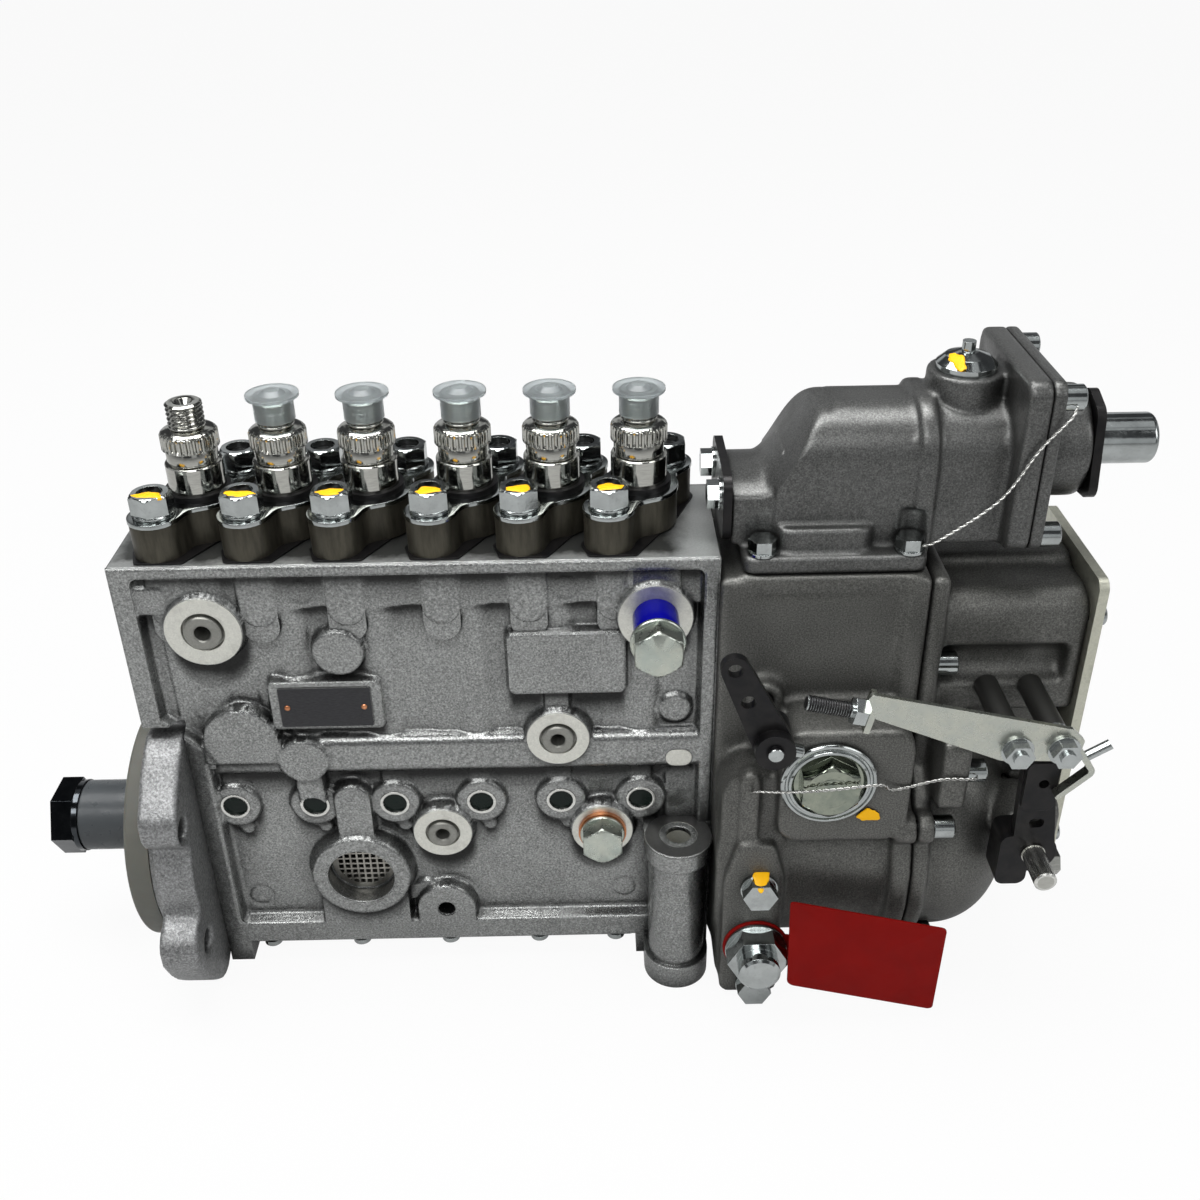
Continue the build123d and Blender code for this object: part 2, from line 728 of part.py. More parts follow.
feed_port_z = 136.0
feed_port_radius = 1.5
barrel_profile = [
    (plunger_radius + running, barrel_bottom),
    (barrel_radius - 0.8, barrel_bottom),
    (barrel_radius, barrel_bottom + 0.8),
    (barrel_radius, body_top + shim_thickness),
    (plunger_radius + running, body_top + shim_thickness),
]
with BuildPart() as barrels:
    barrel = turned(barrel_profile)
    with Locations(*[(x, 0, 0) for x in barrel_x]):
        add(barrel)
    # feed ports through the wall
    with BuildSketch(Plane.XZ.offset(-barrel_radius)):
        with Locations(*[(x, feed_port_z) for x in barrel_x]):
            Circle(feed_port_radius)
    extrude(amount=2 * barrel_radius, mode=Mode.SUBTRACT)
barrels.part.label = "barrels"
export_step(barrels.part, "parts/barrels.step")

valve_profile = [
    (0, body_top + shim_thickness),
    (9.4, body_top + shim_thickness),
    (9.4, holder_base),
    (3.4, holder_base),
    (3.4, holder_base + 8.0),
    (2.0, holder_base + 12.0),
    (0, holder_base + 12.0),
]
with BuildPart() as delivery_valves:
    valve = turned(valve_profile)
    with Locations(*[(x, 0, 0) for x in barrel_x]):
        add(valve)
delivery_valves.part.label = "delivery_valves"
export_step(delivery_valves.part, "parts/delivery_valves.step")

# ---------------------------------------------------------------- tappets, springs and guide bushes
tappet_base = 25.5
tappet_top = 57.7
nose_centre = 16.5
roller_z = cam_nose_radius + nose_centre + seat_gap + roller_radius
roller_width = 14.4
roller_slot = 15.0
roller_pin_radius = 3.0
roller_pin_length = 23.0
with BuildPart() as tappet:
    with BuildSketch(Plane.XY.offset(tappet_base)):
        Circle(tappet_radius)
    extrude(amount=tappet_top - tappet_base)
    with BuildSketch(Plane.YZ.offset(-roller_slot / 2)):
        with Locations((0, roller_z)):
            Circle(roller_radius + 0.6)
        with Locations((0, tappet_base)):
            Rectangle(2 * roller_radius + 1.2, 2 * (roller_z - tappet_base))
    extrude(amount=roller_slot, mode=Mode.SUBTRACT)
    with BuildSketch(Plane.XY.offset(tappet_top)):
        Circle(9.0)
        Circle(7.5, mode=Mode.SUBTRACT)
    extrude(amount=-2.0, mode=Mode.SUBTRACT)
    with BuildSketch(Plane.YZ.offset(-12.0)):
        with Locations((0, roller_z)):
            Circle(roller_pin_radius + running)
    extrude(amount=24.0, mode=Mode.SUBTRACT)
with BuildPart() as tappet_roller:
    with BuildSketch(Plane.YZ.offset(-roller_width / 2)):
        with Locations((0, roller_z)):
            Circle(roller_radius)
            Circle(roller_pin_radius + running, mode=Mode.SUBTRACT)
    extrude(amount=roller_width)
with BuildPart() as tappet_pin:
    with BuildSketch(Plane.YZ.offset(-roller_pin_length / 2)):
        with Locations((0, roller_z)):
            Circle(roller_pin_radius)
    extrude(amount=roller_pin_length)
with BuildPart() as tappets:
    with Locations(*[(x, 0, 0) for x in barrel_x]):
        add(tappet.part)
        add(tappet_roller.part)
        add(tappet_pin.part)
tappets.part.label = "tappets"
export_step(tappets.part, "parts/tappets.step")

spring_wire = 1.4
spring_radius = 10.5
spring_base = tappet_top
spring_top = 80.2
seat_top = 82.0
with BuildPart() as spring:
    with BuildLine():
        coil = Helix(
            pitch=(spring_top - spring_base - 2 * spring_wire - 0.2) / 4,
            height=spring_top - spring_base - 2 * spring_wire - 0.2,
            radius=spring_radius,
            center=(0, 0, spring_base + spring_wire + 0.1),
        )
    with BuildSketch(Plane(origin=coil @ 0, z_dir=coil % 0)):
        Circle(spring_wire)
    sweep(is_frenet=True)
with BuildPart() as plunger_springs:
    with Locations(*[(x, 0, 0) for x in barrel_x]):
        add(spring.part)
    with BuildSketch(Plane.XY.offset(spring_top)):
        with Locations(*[(x, 0) for x in barrel_x]):
            Circle(tappet_radius - 0.1)
            Circle(plunger_radius + 1.0, mode=Mode.SUBTRACT)
    extrude(amount=seat_top - spring_top)
plunger_springs.part.label = "plunger_springs"
export_step(plunger_springs.part, "parts/plunger_springs.step")

bush_profile = [(0, 0), (guide_bush_radius, 0), (guide_bush_radius, 6.0), (5.1, 6.0), (5.1, 1.4), (0, 1.4)]
with BuildPart() as guide_bushes:
    bush = turned(bush_profile)
    for x in barrel_x:
        with Locations(facing_front(x, 6.0 - guide_boss_face - 0.3, guide_bush_z)):
            add(bush)
guide_bushes.part.label = "guide_bushes"
export_step(guide_bushes.part, "parts/guide_bushes.step")

# ---------------------------------------------------------------- fittings on the front wall
gallery_sleeve_radius = 9.3
gallery_sleeve_length = 17.5
copper_radius = 10.6
copper_thickness = 1.6
with BuildPart() as gallery_sleeve:
    with BuildSketch(Plane.XZ.offset(port_face)):
        with Locations((gallery_bolt_x, gallery_bolt_z)):
            Circle(gallery_sleeve_radius)
            Circle(gallery_bolt_radius + running, mode=Mode.SUBTRACT)
    extrude(amount=gallery_sleeve_length)
gallery_sleeve.part.label = "gallery_sleeve"
export_step(gallery_sleeve.part, "parts/gallery_sleeve.step")

with BuildPart() as gallery_bolt:
    with Locations(facing_front(gallery_bolt_x, -port_face - gallery_sleeve_length, gallery_bolt_z)):
        add(hex_head_bolt(19.0, 8.4, gallery_bolt_radius, 24.0, 10.6, 1.8))
gallery_bolt.part.label = "gallery_bolt"
export_step(gallery_bolt.part, "parts/gallery_bolt.step")

with BuildPart() as copper_washer:
    with BuildSketch(Plane.XZ.offset(port_face)):
        with Locations((plug_x, plug_z)):
            Circle(copper_radius)
            Circle(plug_thread_radius + running, mode=Mode.SUBTRACT)
    extrude(amount=copper_thickness)
copper_washer.part.label = "copper_washer"
export_step(copper_washer.part, "parts/copper_washer.step")

with BuildPart() as hex_plug:
    with Locations(facing_front(plug_x, -port_face - copper_thickness, plug_z)):
        add(hex_head_bolt(17.0, 8.2, plug_thread_radius, 9.0, 9.4, 1.6))
hex_plug.part.label = "hex_plug"
export_step(hex_plug.part, "parts/hex_plug.step")

mesh_pitch = 3.0
mesh_opening = 2.1
mesh_rows = 8
with BuildPart() as inlet_screen:
    with BuildSketch(Plane.XZ.offset(screen_seat - screen_thickness)):
        with Locations((screen_x, screen_z)):
            Circle(screen_radius)
            Circle(screen_throat - 1.0, mode=Mode.SUBTRACT)
        for row in range(-mesh_rows // 2, mesh_rows // 2 + 1):
            reach = ((screen_throat + 0.5) ** 2 - (row * mesh_pitch) ** 2) ** 0.5
            with Locations((screen_x, screen_z + row * mesh_pitch)):
                Rectangle(2 * reach, mesh_pitch - mesh_opening)
            with Locations((screen_x + row * mesh_pitch, screen_z)):
                Rectangle(mesh_pitch - mesh_opening, 2 * reach)
    extrude(amount=screen_thickness)
inlet_screen.part.label = "inlet_screen"
export_step(inlet_screen.part, "parts/inlet_screen.step")

# ---------------------------------------------------------------- governor housing
drum_cavity_radius = 52.0
seam_radius = 63.0
seam_half = 38.0
seam_base = -60.0
journal_hole = 17.0
rear_wall_end = governor_left + governor_wall
pad_left = governor_left + 8.5
pad_right = governor_left + 81.5
pad_half = 37.0
pad_base = 135.0
pad_corner = 6.0
column_left = governor_left + 1.5
column_right = governor_left + 29.5
column_face = 56.0
fitting_x = governor_left + 18.5
fitting_face = 62.0
fitting_top = 27.0
timing_z = -30.0
timing_radius = 7.0
timing_bolt_z = [4.0, -53.0]
timing_bolt_radius = 4.0
sight_x = governor_left + 44.0
sight_z = 61.0
sight_face = 62.0
sight_radius = 13.0
sight_block_left = governor_left + 24.5
sight_block_right = governor_seam - 5.0
sight_block_z = 57.0
sight_block_height = 56.0
column_height = 122.0
thread_depth = 12.0
lever_room_middle = 86.0
lever_room_height = 92.0
stop_boss_radius = 8.0
vent_radius = 14.0
stop_x = governor_left + 18.8
stop_z = 88.5
stop_shaft_radius = 3.4
stop_boss_face = 44.0
seam_screws = [(side * y, z) for side in (-1, 1) for y, z in ((30.0, 96.7), (57.0, 31.7), (48.0, -38.0))]
seam_ear_radius = 7.0
screw_pocket_radius = 6.0
seam_screw_radius = 3.0
pad_bolt_y = 29.0
pad_bolts = [(governor_left + x, y) for x in (16.5, 74.5) for y in (pad_bolt_y, -pad_bolt_y)]
pad_bolt_radius = 3.0
governor_inner_half = 29.0


def seam_outline(inset):
    """Outline of the joint between housing and cover, a round drum with a straight-sided top."""
    Circle(seam_radius - inset)
    with Locations((0, (governor_top - inset) / 2)):
        Rectangle(2 * (seam_half - inset), governor_top - inset)
    with Locations(*seam_screws):
        Circle(seam_ear_radius - inset)
    with Locations((0, seam_base - 50 + inset)):
        Rectangle(2 * seam_radius, 100, mode=Mode.SUBTRACT)


with BuildPart() as governor_housing:
    with BuildSketch(Plane.YZ.offset(governor_left)):
        with Locations((0, governor_top / 2)):
            Rectangle(2 * governor_half, governor_top)
    extrude(amount=governor_length)
    fillet(governor_housing.edges().filter_by(Axis.X).group_by(Axis.Z)[-1], radius=2.5)
    with BuildSketch(Plane.YZ.offset(governor_left)):
        Circle(governor_drum_radius)
        with Locations((0, seam_base - 50)):
            Rectangle(2 * seam_radius, 100, mode=Mode.SUBTRACT)
    extrude(amount=governor_length)
    with BuildSketch(Plane.YZ.offset(governor_seam - seam_thickness)):
        seam_outline(0)
    extrude(amount=seam_thickness)
    # seat of the compensator, with a tapered skirt below it
    with BuildSketch(Plane.XY.offset(compensator_seat)):
        with Locations(((pad_left + pad_right) / 2, 0)):
            RectangleRounded(pad_right - pad_left, 2 * pad_half, pad_corner)
    extrude(amount=pad_base - compensator_seat)
    # raised square of the sight plug on the front wall
    with BuildSketch(Plane.XZ.offset(governor_inner_half + 2)):
        with Locations(((sight_block_left + sight_block_right) / 2, sight_block_z)):
            RectangleRounded(sight_block_right - sight_block_left, sight_block_height, 9.0)
    extrude(amount=sight_face - governor_inner_half - 2)
    fillet(governor_housing.edges().group_by(Axis.Y)[0], radius=2.0)
    # column of the fittings at the pump end, narrow above and flared at its pad
    with BuildSketch(Plane.XZ.offset(governor_inner_half)):
        with Locations(((column_left + column_right) / 2, 0)):
            SlotOverall(column_height, column_right - column_left, rotation=90)
        with Locations((0, seam_base - 50)):
            Rectangle(900, 100, mode=Mode.SUBTRACT)
    extrude(amount=column_face - governor_inner_half)
    with BuildSketch(Plane.XZ.offset(column_face - 4)):
        with BuildLine():
            Polyline(
                (pad_left, fitting_top),
                (fitting_x + 6, fitting_top),
                (column_right, 8.0),
                (column_right, seam_base + 1),
                (column_left + 2, seam_base + 1),
                (column_left + 2, 8.0),
                close=True,
            )
        make_face()
        fillet(vertices(), radius=3.0)
    extrude(amount=fitting_face - column_face + 4)
    with BuildSketch(Plane.XZ.offset(column_face - 4)):
        with Locations((governor_left + 13.0, 43.0)):
            SlotOverall(40.0, 8.0, rotation=90)
    extrude(amount=fitting_face - column_face + 1)
    # bosses of the stop shaft
    with BuildSketch(Plane.XZ.offset(governor_inner_half)):
        with Locations((stop_x, stop_z)):
            Circle(stop_boss_radius)
    extrude(amount=stop_boss_face - governor_inner_half)
    # flyweight room and lever room
    with BuildSketch(Plane.YZ.offset(rear_wall_end)):
        Circle(drum_cavity_radius)
        with Locations((0, lever_room_middle)):
            Rectangle(2 * governor_inner_half, lever_room_height)
    extrude(amount=governor_length, mode=Mode.SUBTRACT)
    with BuildSketch(Plane.YZ.offset(governor_left)):
        Circle(journal_hole)
        with Locations(((rack_low_y + rack_high_y) / 2, rack_z)):
            Rectangle(rack_high_y - rack_low_y + 1.0, 2 * rack_half_height + 1.0)
    extrude(amount=governor_wall, mode=Mode.SUBTRACT)
    # threaded and plain holes
    with BuildSketch(Plane.XZ.offset(fitting_face)):
        with Locations((fitting_x, timing_z)):
            Circle(timing_radius + running)
        with Locations(*[(fitting_x, z) for z in timing_bolt_z]):
            Circle(timing_bolt_radius + running)
    extrude(amount=-thread_depth, mode=Mode.SUBTRACT)
    with BuildSketch(Plane.XZ.offset(sight_face)):
        with Locations((sight_x, sight_z)):
            Circle(sight_radius + running)
    extrude(amount=-thread_depth, mode=Mode.SUBTRACT)
    with BuildSketch(Plane.XZ.offset(stop_boss_face)):
        with Locations((stop_x, stop_z)):
            Circle(stop_shaft_radius + running)
    extrude(amount=-(stop_boss_face - governor_inner_half + 2), mode=Mode.SUBTRACT)
    with BuildSketch(Plane.YZ.offset(governor_seam)):
        with Locations(*seam_screws):
            Circle(seam_screw_radius + running)
    extrude(amount=-seam_thickness, mode=Mode.SUBTRACT)
    with BuildSketch(Plane.XY.offset(compensator_seat)):
        with Locations(*pad_bolts):
            Circle(pad_bolt_radius + running)
    extrude(amount=-8.0, mode=Mode.SUBTRACT)
    with BuildSketch(Plane.XY.offset(compensator_seat)):
        with Locations(((pad_left + pad_right) / 2, 0)):
            Circle(vent_radius)
    extrude(amount=-vent_radius, mode=Mode.SUBTRACT)
governor_housing.part.label = "governor_housing"
export_step(governor_housing.part, "parts/governor_housing.step")

# ---------------------------------------------------------------- governor cover
cover_half = 33.0
cover_top = 129.5
cover_ridge = 133.5
recess_base = 31.0
recess_top = 74.0
recess_wall = 22.0
cover_drum_radius = 57.0
control_x = governor_left + 131.0
control_z = 26.0
control_shaft_radius = 5.0
control_boss_face = 54.0
cover_lower_half = 45.0
end_base = -5.0
cover_wall_thickness = 4.5
screw_block_length = 12.0
block_screw = (-50.0, 56.0)
upper_room_half = 20.0
upper_room_middle = 101.0
upper_room_height = 46.0
shoulder_radius = 11.0
ridge_y = 9.0
ridge_width = 30.0
screw_block_half = 58.0
screw_block_z = 58.0
screw_block_height = 34.0
control_boss_radius = 10.5
screw_groove_radius = 9.5
screw_groove_y = 34.0
screw_groove_z = 97.0

with BuildPart() as governor_cover:
    with BuildSketch(Plane.YZ.offset(governor_seam)):
        seam_outline(0)
    extrude(amount=cover_flange)
    # upper block with rolled shoulders, the ridge stands behind
    with BuildSketch(Plane.YZ.offset(governor_seam)):
        with Locations((0, (cover_top + recess_top) / 2)):
            Rectangle(2 * cover_half, cover_top - recess_top)
        fillet(vertices().sort_by(Axis.Y)[-2:], radius=shoulder_radius)
        with Locations((ridge_y, (cover_ridge + recess_top) / 2)):
            RectangleRounded(ridge_width, cover_ridge - recess_top, 3.0)
    extrude(amount=cover_end - governor_seam)
    # narrow waist between the blocks
    with BuildSketch(Plane.YZ.offset(governor_seam)):
        with Locations((0, (recess_base + recess_top) / 2)):
            Rectangle(2 * recess_wall, recess_top - recess_base + 10)
    extrude(amount=cover_end - governor_seam)
    # lower block, square at the end wall
    with BuildSketch(Plane.YZ.offset(governor_seam)):
        with Locations((0, (recess_base + end_base) / 2)):
            RectangleRounded(2 * cover_lower_half, recess_base - end_base, 7.0)
    extrude(amount=cover_end - governor_seam)
    with BuildSketch(Plane.XZ):
        with BuildLine():
            outer = Line((governor_seam, cover_drum_radius), (governor_seam + 18, cover_drum_radius))
            shoulder = TangentArc(outer @ 1, (governor_left + 131.5, 36.0), tangent=outer % 1)
            tail = Line(shoulder @ 1, (governor_left + 145.5, 14.0))
            back = Line(tail @ 1, (governor_left + 145.5, 0))
            base = Line(back @ 1, (governor_seam, 0))
            Line(base @ 1, outer @ 0)
        make_face()
    revolve(axis=Axis.X)
    # drilled screw block on the joint flange
    with BuildSketch(Plane.YZ.offset(governor_seam + cover_flange)):
        with Locations((-(screw_block_half + recess_wall) / 2, screw_block_z)):
            Rectangle(screw_block_half - recess_wall + 2, screw_block_height)
            fillet(vertices().group_by(Axis.X)[0], radius=4.0)
    extrude(amount=screw_block_length)
    with BuildSketch(Plane.YZ.offset(governor_seam + cover_flange + screw_block_length)):
        with Locations(block_screw):
            Circle(seam_screw_radius + running)
    extrude(amount=-10.0, mode=Mode.SUBTRACT)
    # boss of the control shaft
    with BuildSketch(Plane.XZ.offset(cover_lower_half - 15)):
        with Locations((control_x, control_z)):
            Circle(control_boss_radius)
    extrude(amount=control_boss_face - cover_lower_half + 15)
    # inside
    with BuildSketch(Plane.YZ.offset(governor_seam)):
        Circle(drum_cavity_radius - 2)
    extrude(amount=12.0, mode=Mode.SUBTRACT)
    with BuildSketch(Plane.YZ.offset(governor_seam)):
        with Locations((0, (end_base + cover_wall_thickness + 124) / 2)):
            Rectangle(2 * (recess_wall - cover_wall_thickness), 124 - end_base - cover_wall_thickness)
        with Locations((0, upper_room_middle)):
            Rectangle(2 * upper_room_half, upper_room_height)
    extrude(amount=cover_end - governor_seam, mode=Mode.SUBTRACT)
    # holes of shafts and screws
    with BuildSketch(Plane.XZ.offset(control_boss_face)):
        with Locations((control_x, control_z)):
            Circle(control_shaft_radius + running)
    extrude(amount=-(control_boss_face - recess_wall + cover_wall_thickness + 1), mode=Mode.SUBTRACT)
    with BuildSketch(Plane.YZ.offset(governor_seam)):
        with Locations(*seam_screws):
            Circle(seam_screw_radius + running)
    extrude(amount=cover_flange, mode=Mode.SUBTRACT)
    # room for the screw heads: a long groove at the top, pockets below
    with BuildSketch(Plane.YZ.offset(governor_seam + cover_flange)):
        with Locations((-screw_groove_y, screw_groove_z), (screw_groove_y, screw_groove_z)):
            Circle(screw_groove_radius)
    extrude(amount=cover_end - governor_seam - cover_flange - 6, mode=Mode.SUBTRACT)
    with BuildSketch(Plane.YZ.offset(governor_seam + cover_flange)):
        with Locations(*seam_screws):
            Circle(screw_pocket_radius)
    extrude(amount=14.0, mode=Mode.SUBTRACT)
governor_cover.part.label = "governor_cover"
export_step(governor_cover.part, "parts/governor_cover.step")

# ---------------------------------------------------------------- governor plugs, plates and screws
end_plate_top = 137.0
plate_screws = [(side * 29.0, z) for side in (-1, 1) for z in (4.0, 118.0)]
plate_screw_radius = 2.5
with BuildPart() as end_plate:
    with BuildSketch(Plane.YZ.offset(cover_end)):
        with Locations((0, (end_base + end_plate_top) / 2)):
            RectangleRounded(2 * governor_half, end_plate_top - end_base, 5.0)
        with Locations(*plate_screws):
            Circle(plate_screw_radius + running, mode=Mode.SUBTRACT)
    extrude(amount=end_plate_thickness)
end_plate.part.label = "end_plate"
export_step(end_plate.part, "parts/end_plate.step")

with BuildPart() as cover_screws:
    seam_screw = cap_screw(5.0, 8.6, seam_screw_radius, 15.0, 5.0)
    for y, z in seam_screws:
        with Locations(facing_right(governor_seam + cover_flange, y, z)):
            add(seam_screw)
    block_end = governor_seam + cover_flange + screw_block_length
    with Locations(facing_right(block_end, block_screw[0], block_screw[1])):
        add(cap_screw(5.0, 8.6, seam_screw_radius, 9.0, 5.0))
    plate_screw = cap_screw(4.2, 3.0, plate_screw_radius, end_plate_thickness, 3.0)
    for y, z in plate_screws:
        with Locations(facing_right(cover_end + end_plate_thickness, y, z)):
            add(plate_screw)
    base_screw = cap_screw(4.2, 3.0, cover_screw_radius, cover_screw_depth, 3.0)
    for x in cover_screw_x:
        for y in (-cover_screw_y, cover_screw_y):
            with Locations(Plane((x, y, body_base - bottom_cover_thickness), z_dir=(0, 0, -1))):
                add(base_screw)
cover_screws.part.label = "cover_screws"
export_step(cover_screws.part, "parts/cover_screws.step")

sight_profile = [
    (0, -10.0),
    (sight_radius, -10.0),
    (sight_radius, 0),
    (19.7, 0),
    (19.7, 3.0),
    (18.2, 3.6),
    (14.0, 2.2),
    (0, 2.2),
]
with BuildPart() as sight_plug:
    with Locations(facing_front(sight_x, -sight_face, sight_z)):
        add(turned(sight_profile))
    with BuildSketch(facing_front(sight_x, -sight_face - 2.2, sight_z)):
        RegularPolygon(11.0, 6, major_radius=False)
    extrude(amount=3.2)
    with BuildSketch(facing_front(sight_x, -sight_face - 5.4, sight_z)):
        RegularPolygon(11.0, 6, major_radius=False)
    extrude(amount=2.6, taper=42)
sight_plug.part.label = "sight_plug"
export_step(sight_plug.part, "parts/sight_plug.step")

strap_thickness = 1.0
timing_profile = [
    (0, -11.0),
    (timing_radius, -11.0),
    (timing_radius, 0),
    (13.6, 0),
    (13.6, 1.8),
    (9.0, 1.8),
    (9.0, 16.4),
    (7.8, 17.4),
    (0, 17.4),
]
with BuildPart() as timing_plug:
    with Locations(facing_front(fitting_x, -fitting_face - strap_thickness, timing_z)):
        add(turned(timing_profile))
    with BuildSketch(facing_front(fitting_x, -fitting_face - strap_thickness - 1.8, timing_z)):
        RegularPolygon(11.6, 6, major_radius=False)
    extrude(amount=8.6)
timing_plug.part.label = "timing_plug"
export_step(timing_plug.part, "parts/timing_plug.step")

with BuildPart() as timing_plug_bolts:
    timing_bolt = hex_head_bolt(13.0, 5.6, timing_bolt_radius, 11.0, 8.0, 1.6)
    for z in timing_bolt_z:
        with Locations(facing_front(fitting_x, -fitting_face, z)):
            add(timing_bolt)
timing_plug_bolts.part.label = "timing_plug_bolts"
export_step(timing_plug_bolts.part, "parts/timing_plug_bolts.step")

tag_front = 75.6
tag_thickness = 0.8
tag_corners = [(30.3, 6.6), (98.7, -11.2), (96.9, -57.2), (31.3, -39.8)]
tongue_x = governor_left + 34.1
tongue_start = governor_left + 27.5
tongue_width = 13.0
strap_radius = 14.4
with BuildPart() as red_tag:
    with BuildSketch(Plane.XZ.offset(fitting_face)):
        with Locations((fitting_x, timing_z)):
            Circle(strap_radius)
        with Locations((tongue_start, timing_z)):
            Rectangle(2 * (tongue_x - tongue_start), tongue_width)
        with Locations((fitting_x, timing_z)):
            Circle(timing_radius + running, mode=Mode.SUBTRACT)
    extrude(amount=strap_thickness)
    with BuildSketch(Plane.XZ.offset(fitting_face)):
        with Locations((tongue_x - strap_thickness / 2, timing_z)):
            Rectangle(strap_thickness, tongue_width)
    extrude(amount=tag_front - fitting_face)
    with BuildSketch(Plane.XZ.offset(tag_front - tag_thickness)):
        with BuildLine():
            Polyline(*[(governor_left + x, z) for x, z in tag_corners], close=True)
        make_face()
        fillet(vertices(), radius=2.0)
    extrude(amount=tag_thickness)
red_tag.part.label = "red_tag"
export_step(red_tag.part, "parts/red_tag.step")

# ---------------------------------------------------------------- stop bracket in front of the cover
bracket_front = 78.0
bracket_sheet = 2.0
bracket_back = bracket_front - bracket_sheet
bracket_studs = [(governor_left + 112.3, 87.5), (governor_left + 130.4, 87.3)]
bracket_stud_radius = 3.0
hook_depth = 4.5
hook_sheet = 2.4
tab_depth = 9.0
stop_screw_radius = 3.0
stop_screw_y = -70.5
stop_screw_tip = (governor_left + 30.5, 106.6)
stop_screw_slope = 12.7
stop_screw_length = 23.66
# Corners of the sheet and of its hook from the pump end of the governor, x and z.
bracket_corners = [
    (51.9, 115.2),
    (132.7, 96.8),
    (138.0, 91.5),
    (136.5, 81.5),
    (106.5, 82.6),
    (55.8, 103.6),
]
hook_corners = [(136.9, 86.2), (144.9, 74.2), (133.1, 62.0)]
tab_place = (governor_left + 55.1, 102.6)
tab_height = 15.0
hook_stud_base = (governor_left + 141.95, -73.8, 80.95)
hook_stud_direction = (0.832, 0, 0.555)
hook_stud_radius = 2.1
hook_stud_length = 10.0
with BuildPart() as stop_bracket:
    with BuildSketch(Plane.XZ.offset(bracket_back)):
        with BuildLine():
            Polyline(*[(governor_left + x, z) for x, z in bracket_corners], close=True)
        make_face()
        fillet(vertices(), radius=1.8)
        with Locations(*bracket_studs):
            Circle(bracket_stud_radius + running, mode=Mode.SUBTRACT)
    extrude(amount=bracket_sheet)
    # bent tab of the stop screw
    with BuildSketch(Plane.XZ.offset(bracket_back)):
        with Locations(tab_place):
            Rectangle(hook_sheet, tab_height, rotation=-stop_screw_slope)
    extrude(amount=-tab_depth)
    # rolled hook on the right
    with BuildSketch(Plane.XZ.offset(bracket_back)):
        with BuildLine():
            hook = FilletPolyline(*[(governor_left + x, z) for x, z in hook_corners], radius=2.5)
            offset(hook, amount=hook_sheet / 2)
        make_face()
    extrude(amount=-hook_depth)
stop_bracket.part.label = "stop_bracket"
export_step(stop_bracket.part, "parts/stop_bracket.step")

spacer_radius = 5.0
screw_direction = Vector(cos(radians(stop_screw_slope)), 0, -sin(radians(stop_screw_slope)))
screw_start = Vector(stop_screw_tip[0], stop_screw_y, stop_screw_tip[1])
screw_nut = screw_start + screw_direction * (stop_screw_length - 5.0)
with BuildPart() as bracket_fasteners:
    with BuildSketch(Plane.XZ.offset(cover_half)):
        with Locations(*bracket_studs):
            Circle(spacer_radius)
            Circle(bracket_stud_radius + running, mode=Mode.SUBTRACT)
    extrude(amount=bracket_back - cover_half)
    bracket_nut = hex_nut(10.0, 5.4, bracket_stud_radius + running, 6.4, 1.0)
    for x, z in bracket_studs:
        with Locations(facing_front(x, -bracket_front, z)):
            add(bracket_nut)
    with BuildSketch(Plane.XZ.offset(cover_half)):
        with Locations(*bracket_studs):
            Circle(bracket_stud_radius)
    extrude(amount=bracket_front + 7.0 - cover_half)
    # stop screw with its lock nut against the tab
    with BuildSketch(Plane(origin=screw_start, z_dir=screw_direction)):
        Circle(stop_screw_radius)
    extrude(amount=stop_screw_length)
    with BuildSketch(Plane(origin=screw_nut, z_dir=screw_direction)):
        RegularPolygon(5.0, 6, major_radius=False)
    extrude(amount=5.0)
    # short stud that stands on the hook
    with BuildSketch(Plane(origin=hook_stud_base, z_dir=hook_stud_direction)):
        Circle(hook_stud_radius)
    extrude(amount=hook_stud_length)
bracket_fasteners.part.label = "bracket_fasteners"
export_step(bracket_fasteners.part, "parts/bracket_fasteners.step")

# ---------------------------------------------------------------- compensator
arch_half = 25.0
arch_left = governor_left + 21.5
arch_top = 204.0
compensator_flange_half = 35.0
base_half = 35.0
bore_radius = 20.0
dome_x = governor_left + 96.0
dome_seat = 214.0
dome_plug_radius = 8.0
flange_screw_places = [(side * 28.5, z) for side in (-1, 1) for z in (155.5, 212.5)]
flange_screw_radius = 2.5
end_left = compensator_left
end_bolt_places = [(15.0, 169.0), (-15.0, 169.0)]
stem_radius = 4.0
bolt_pocket_radius = 6.4
bolt_pocket_depth = 16.0
foot_middle = governor_left + 65.5
foot_height = 10.0
linkage_x = governor_left + 40.5
linkage_size = (40.0, 62.0)
head_top = 177.0
head_width = 46.0
head_length = 24.0
arch_corner = 20.0
band_left = governor_left + 75.5
band_width = 7.0
band_rise = 5.0
flange_middle = 185.0
flange_height = 70.0
flange_corner = 6.0
dome_boss_base = 190.0
dome_boss_radius = 15.0

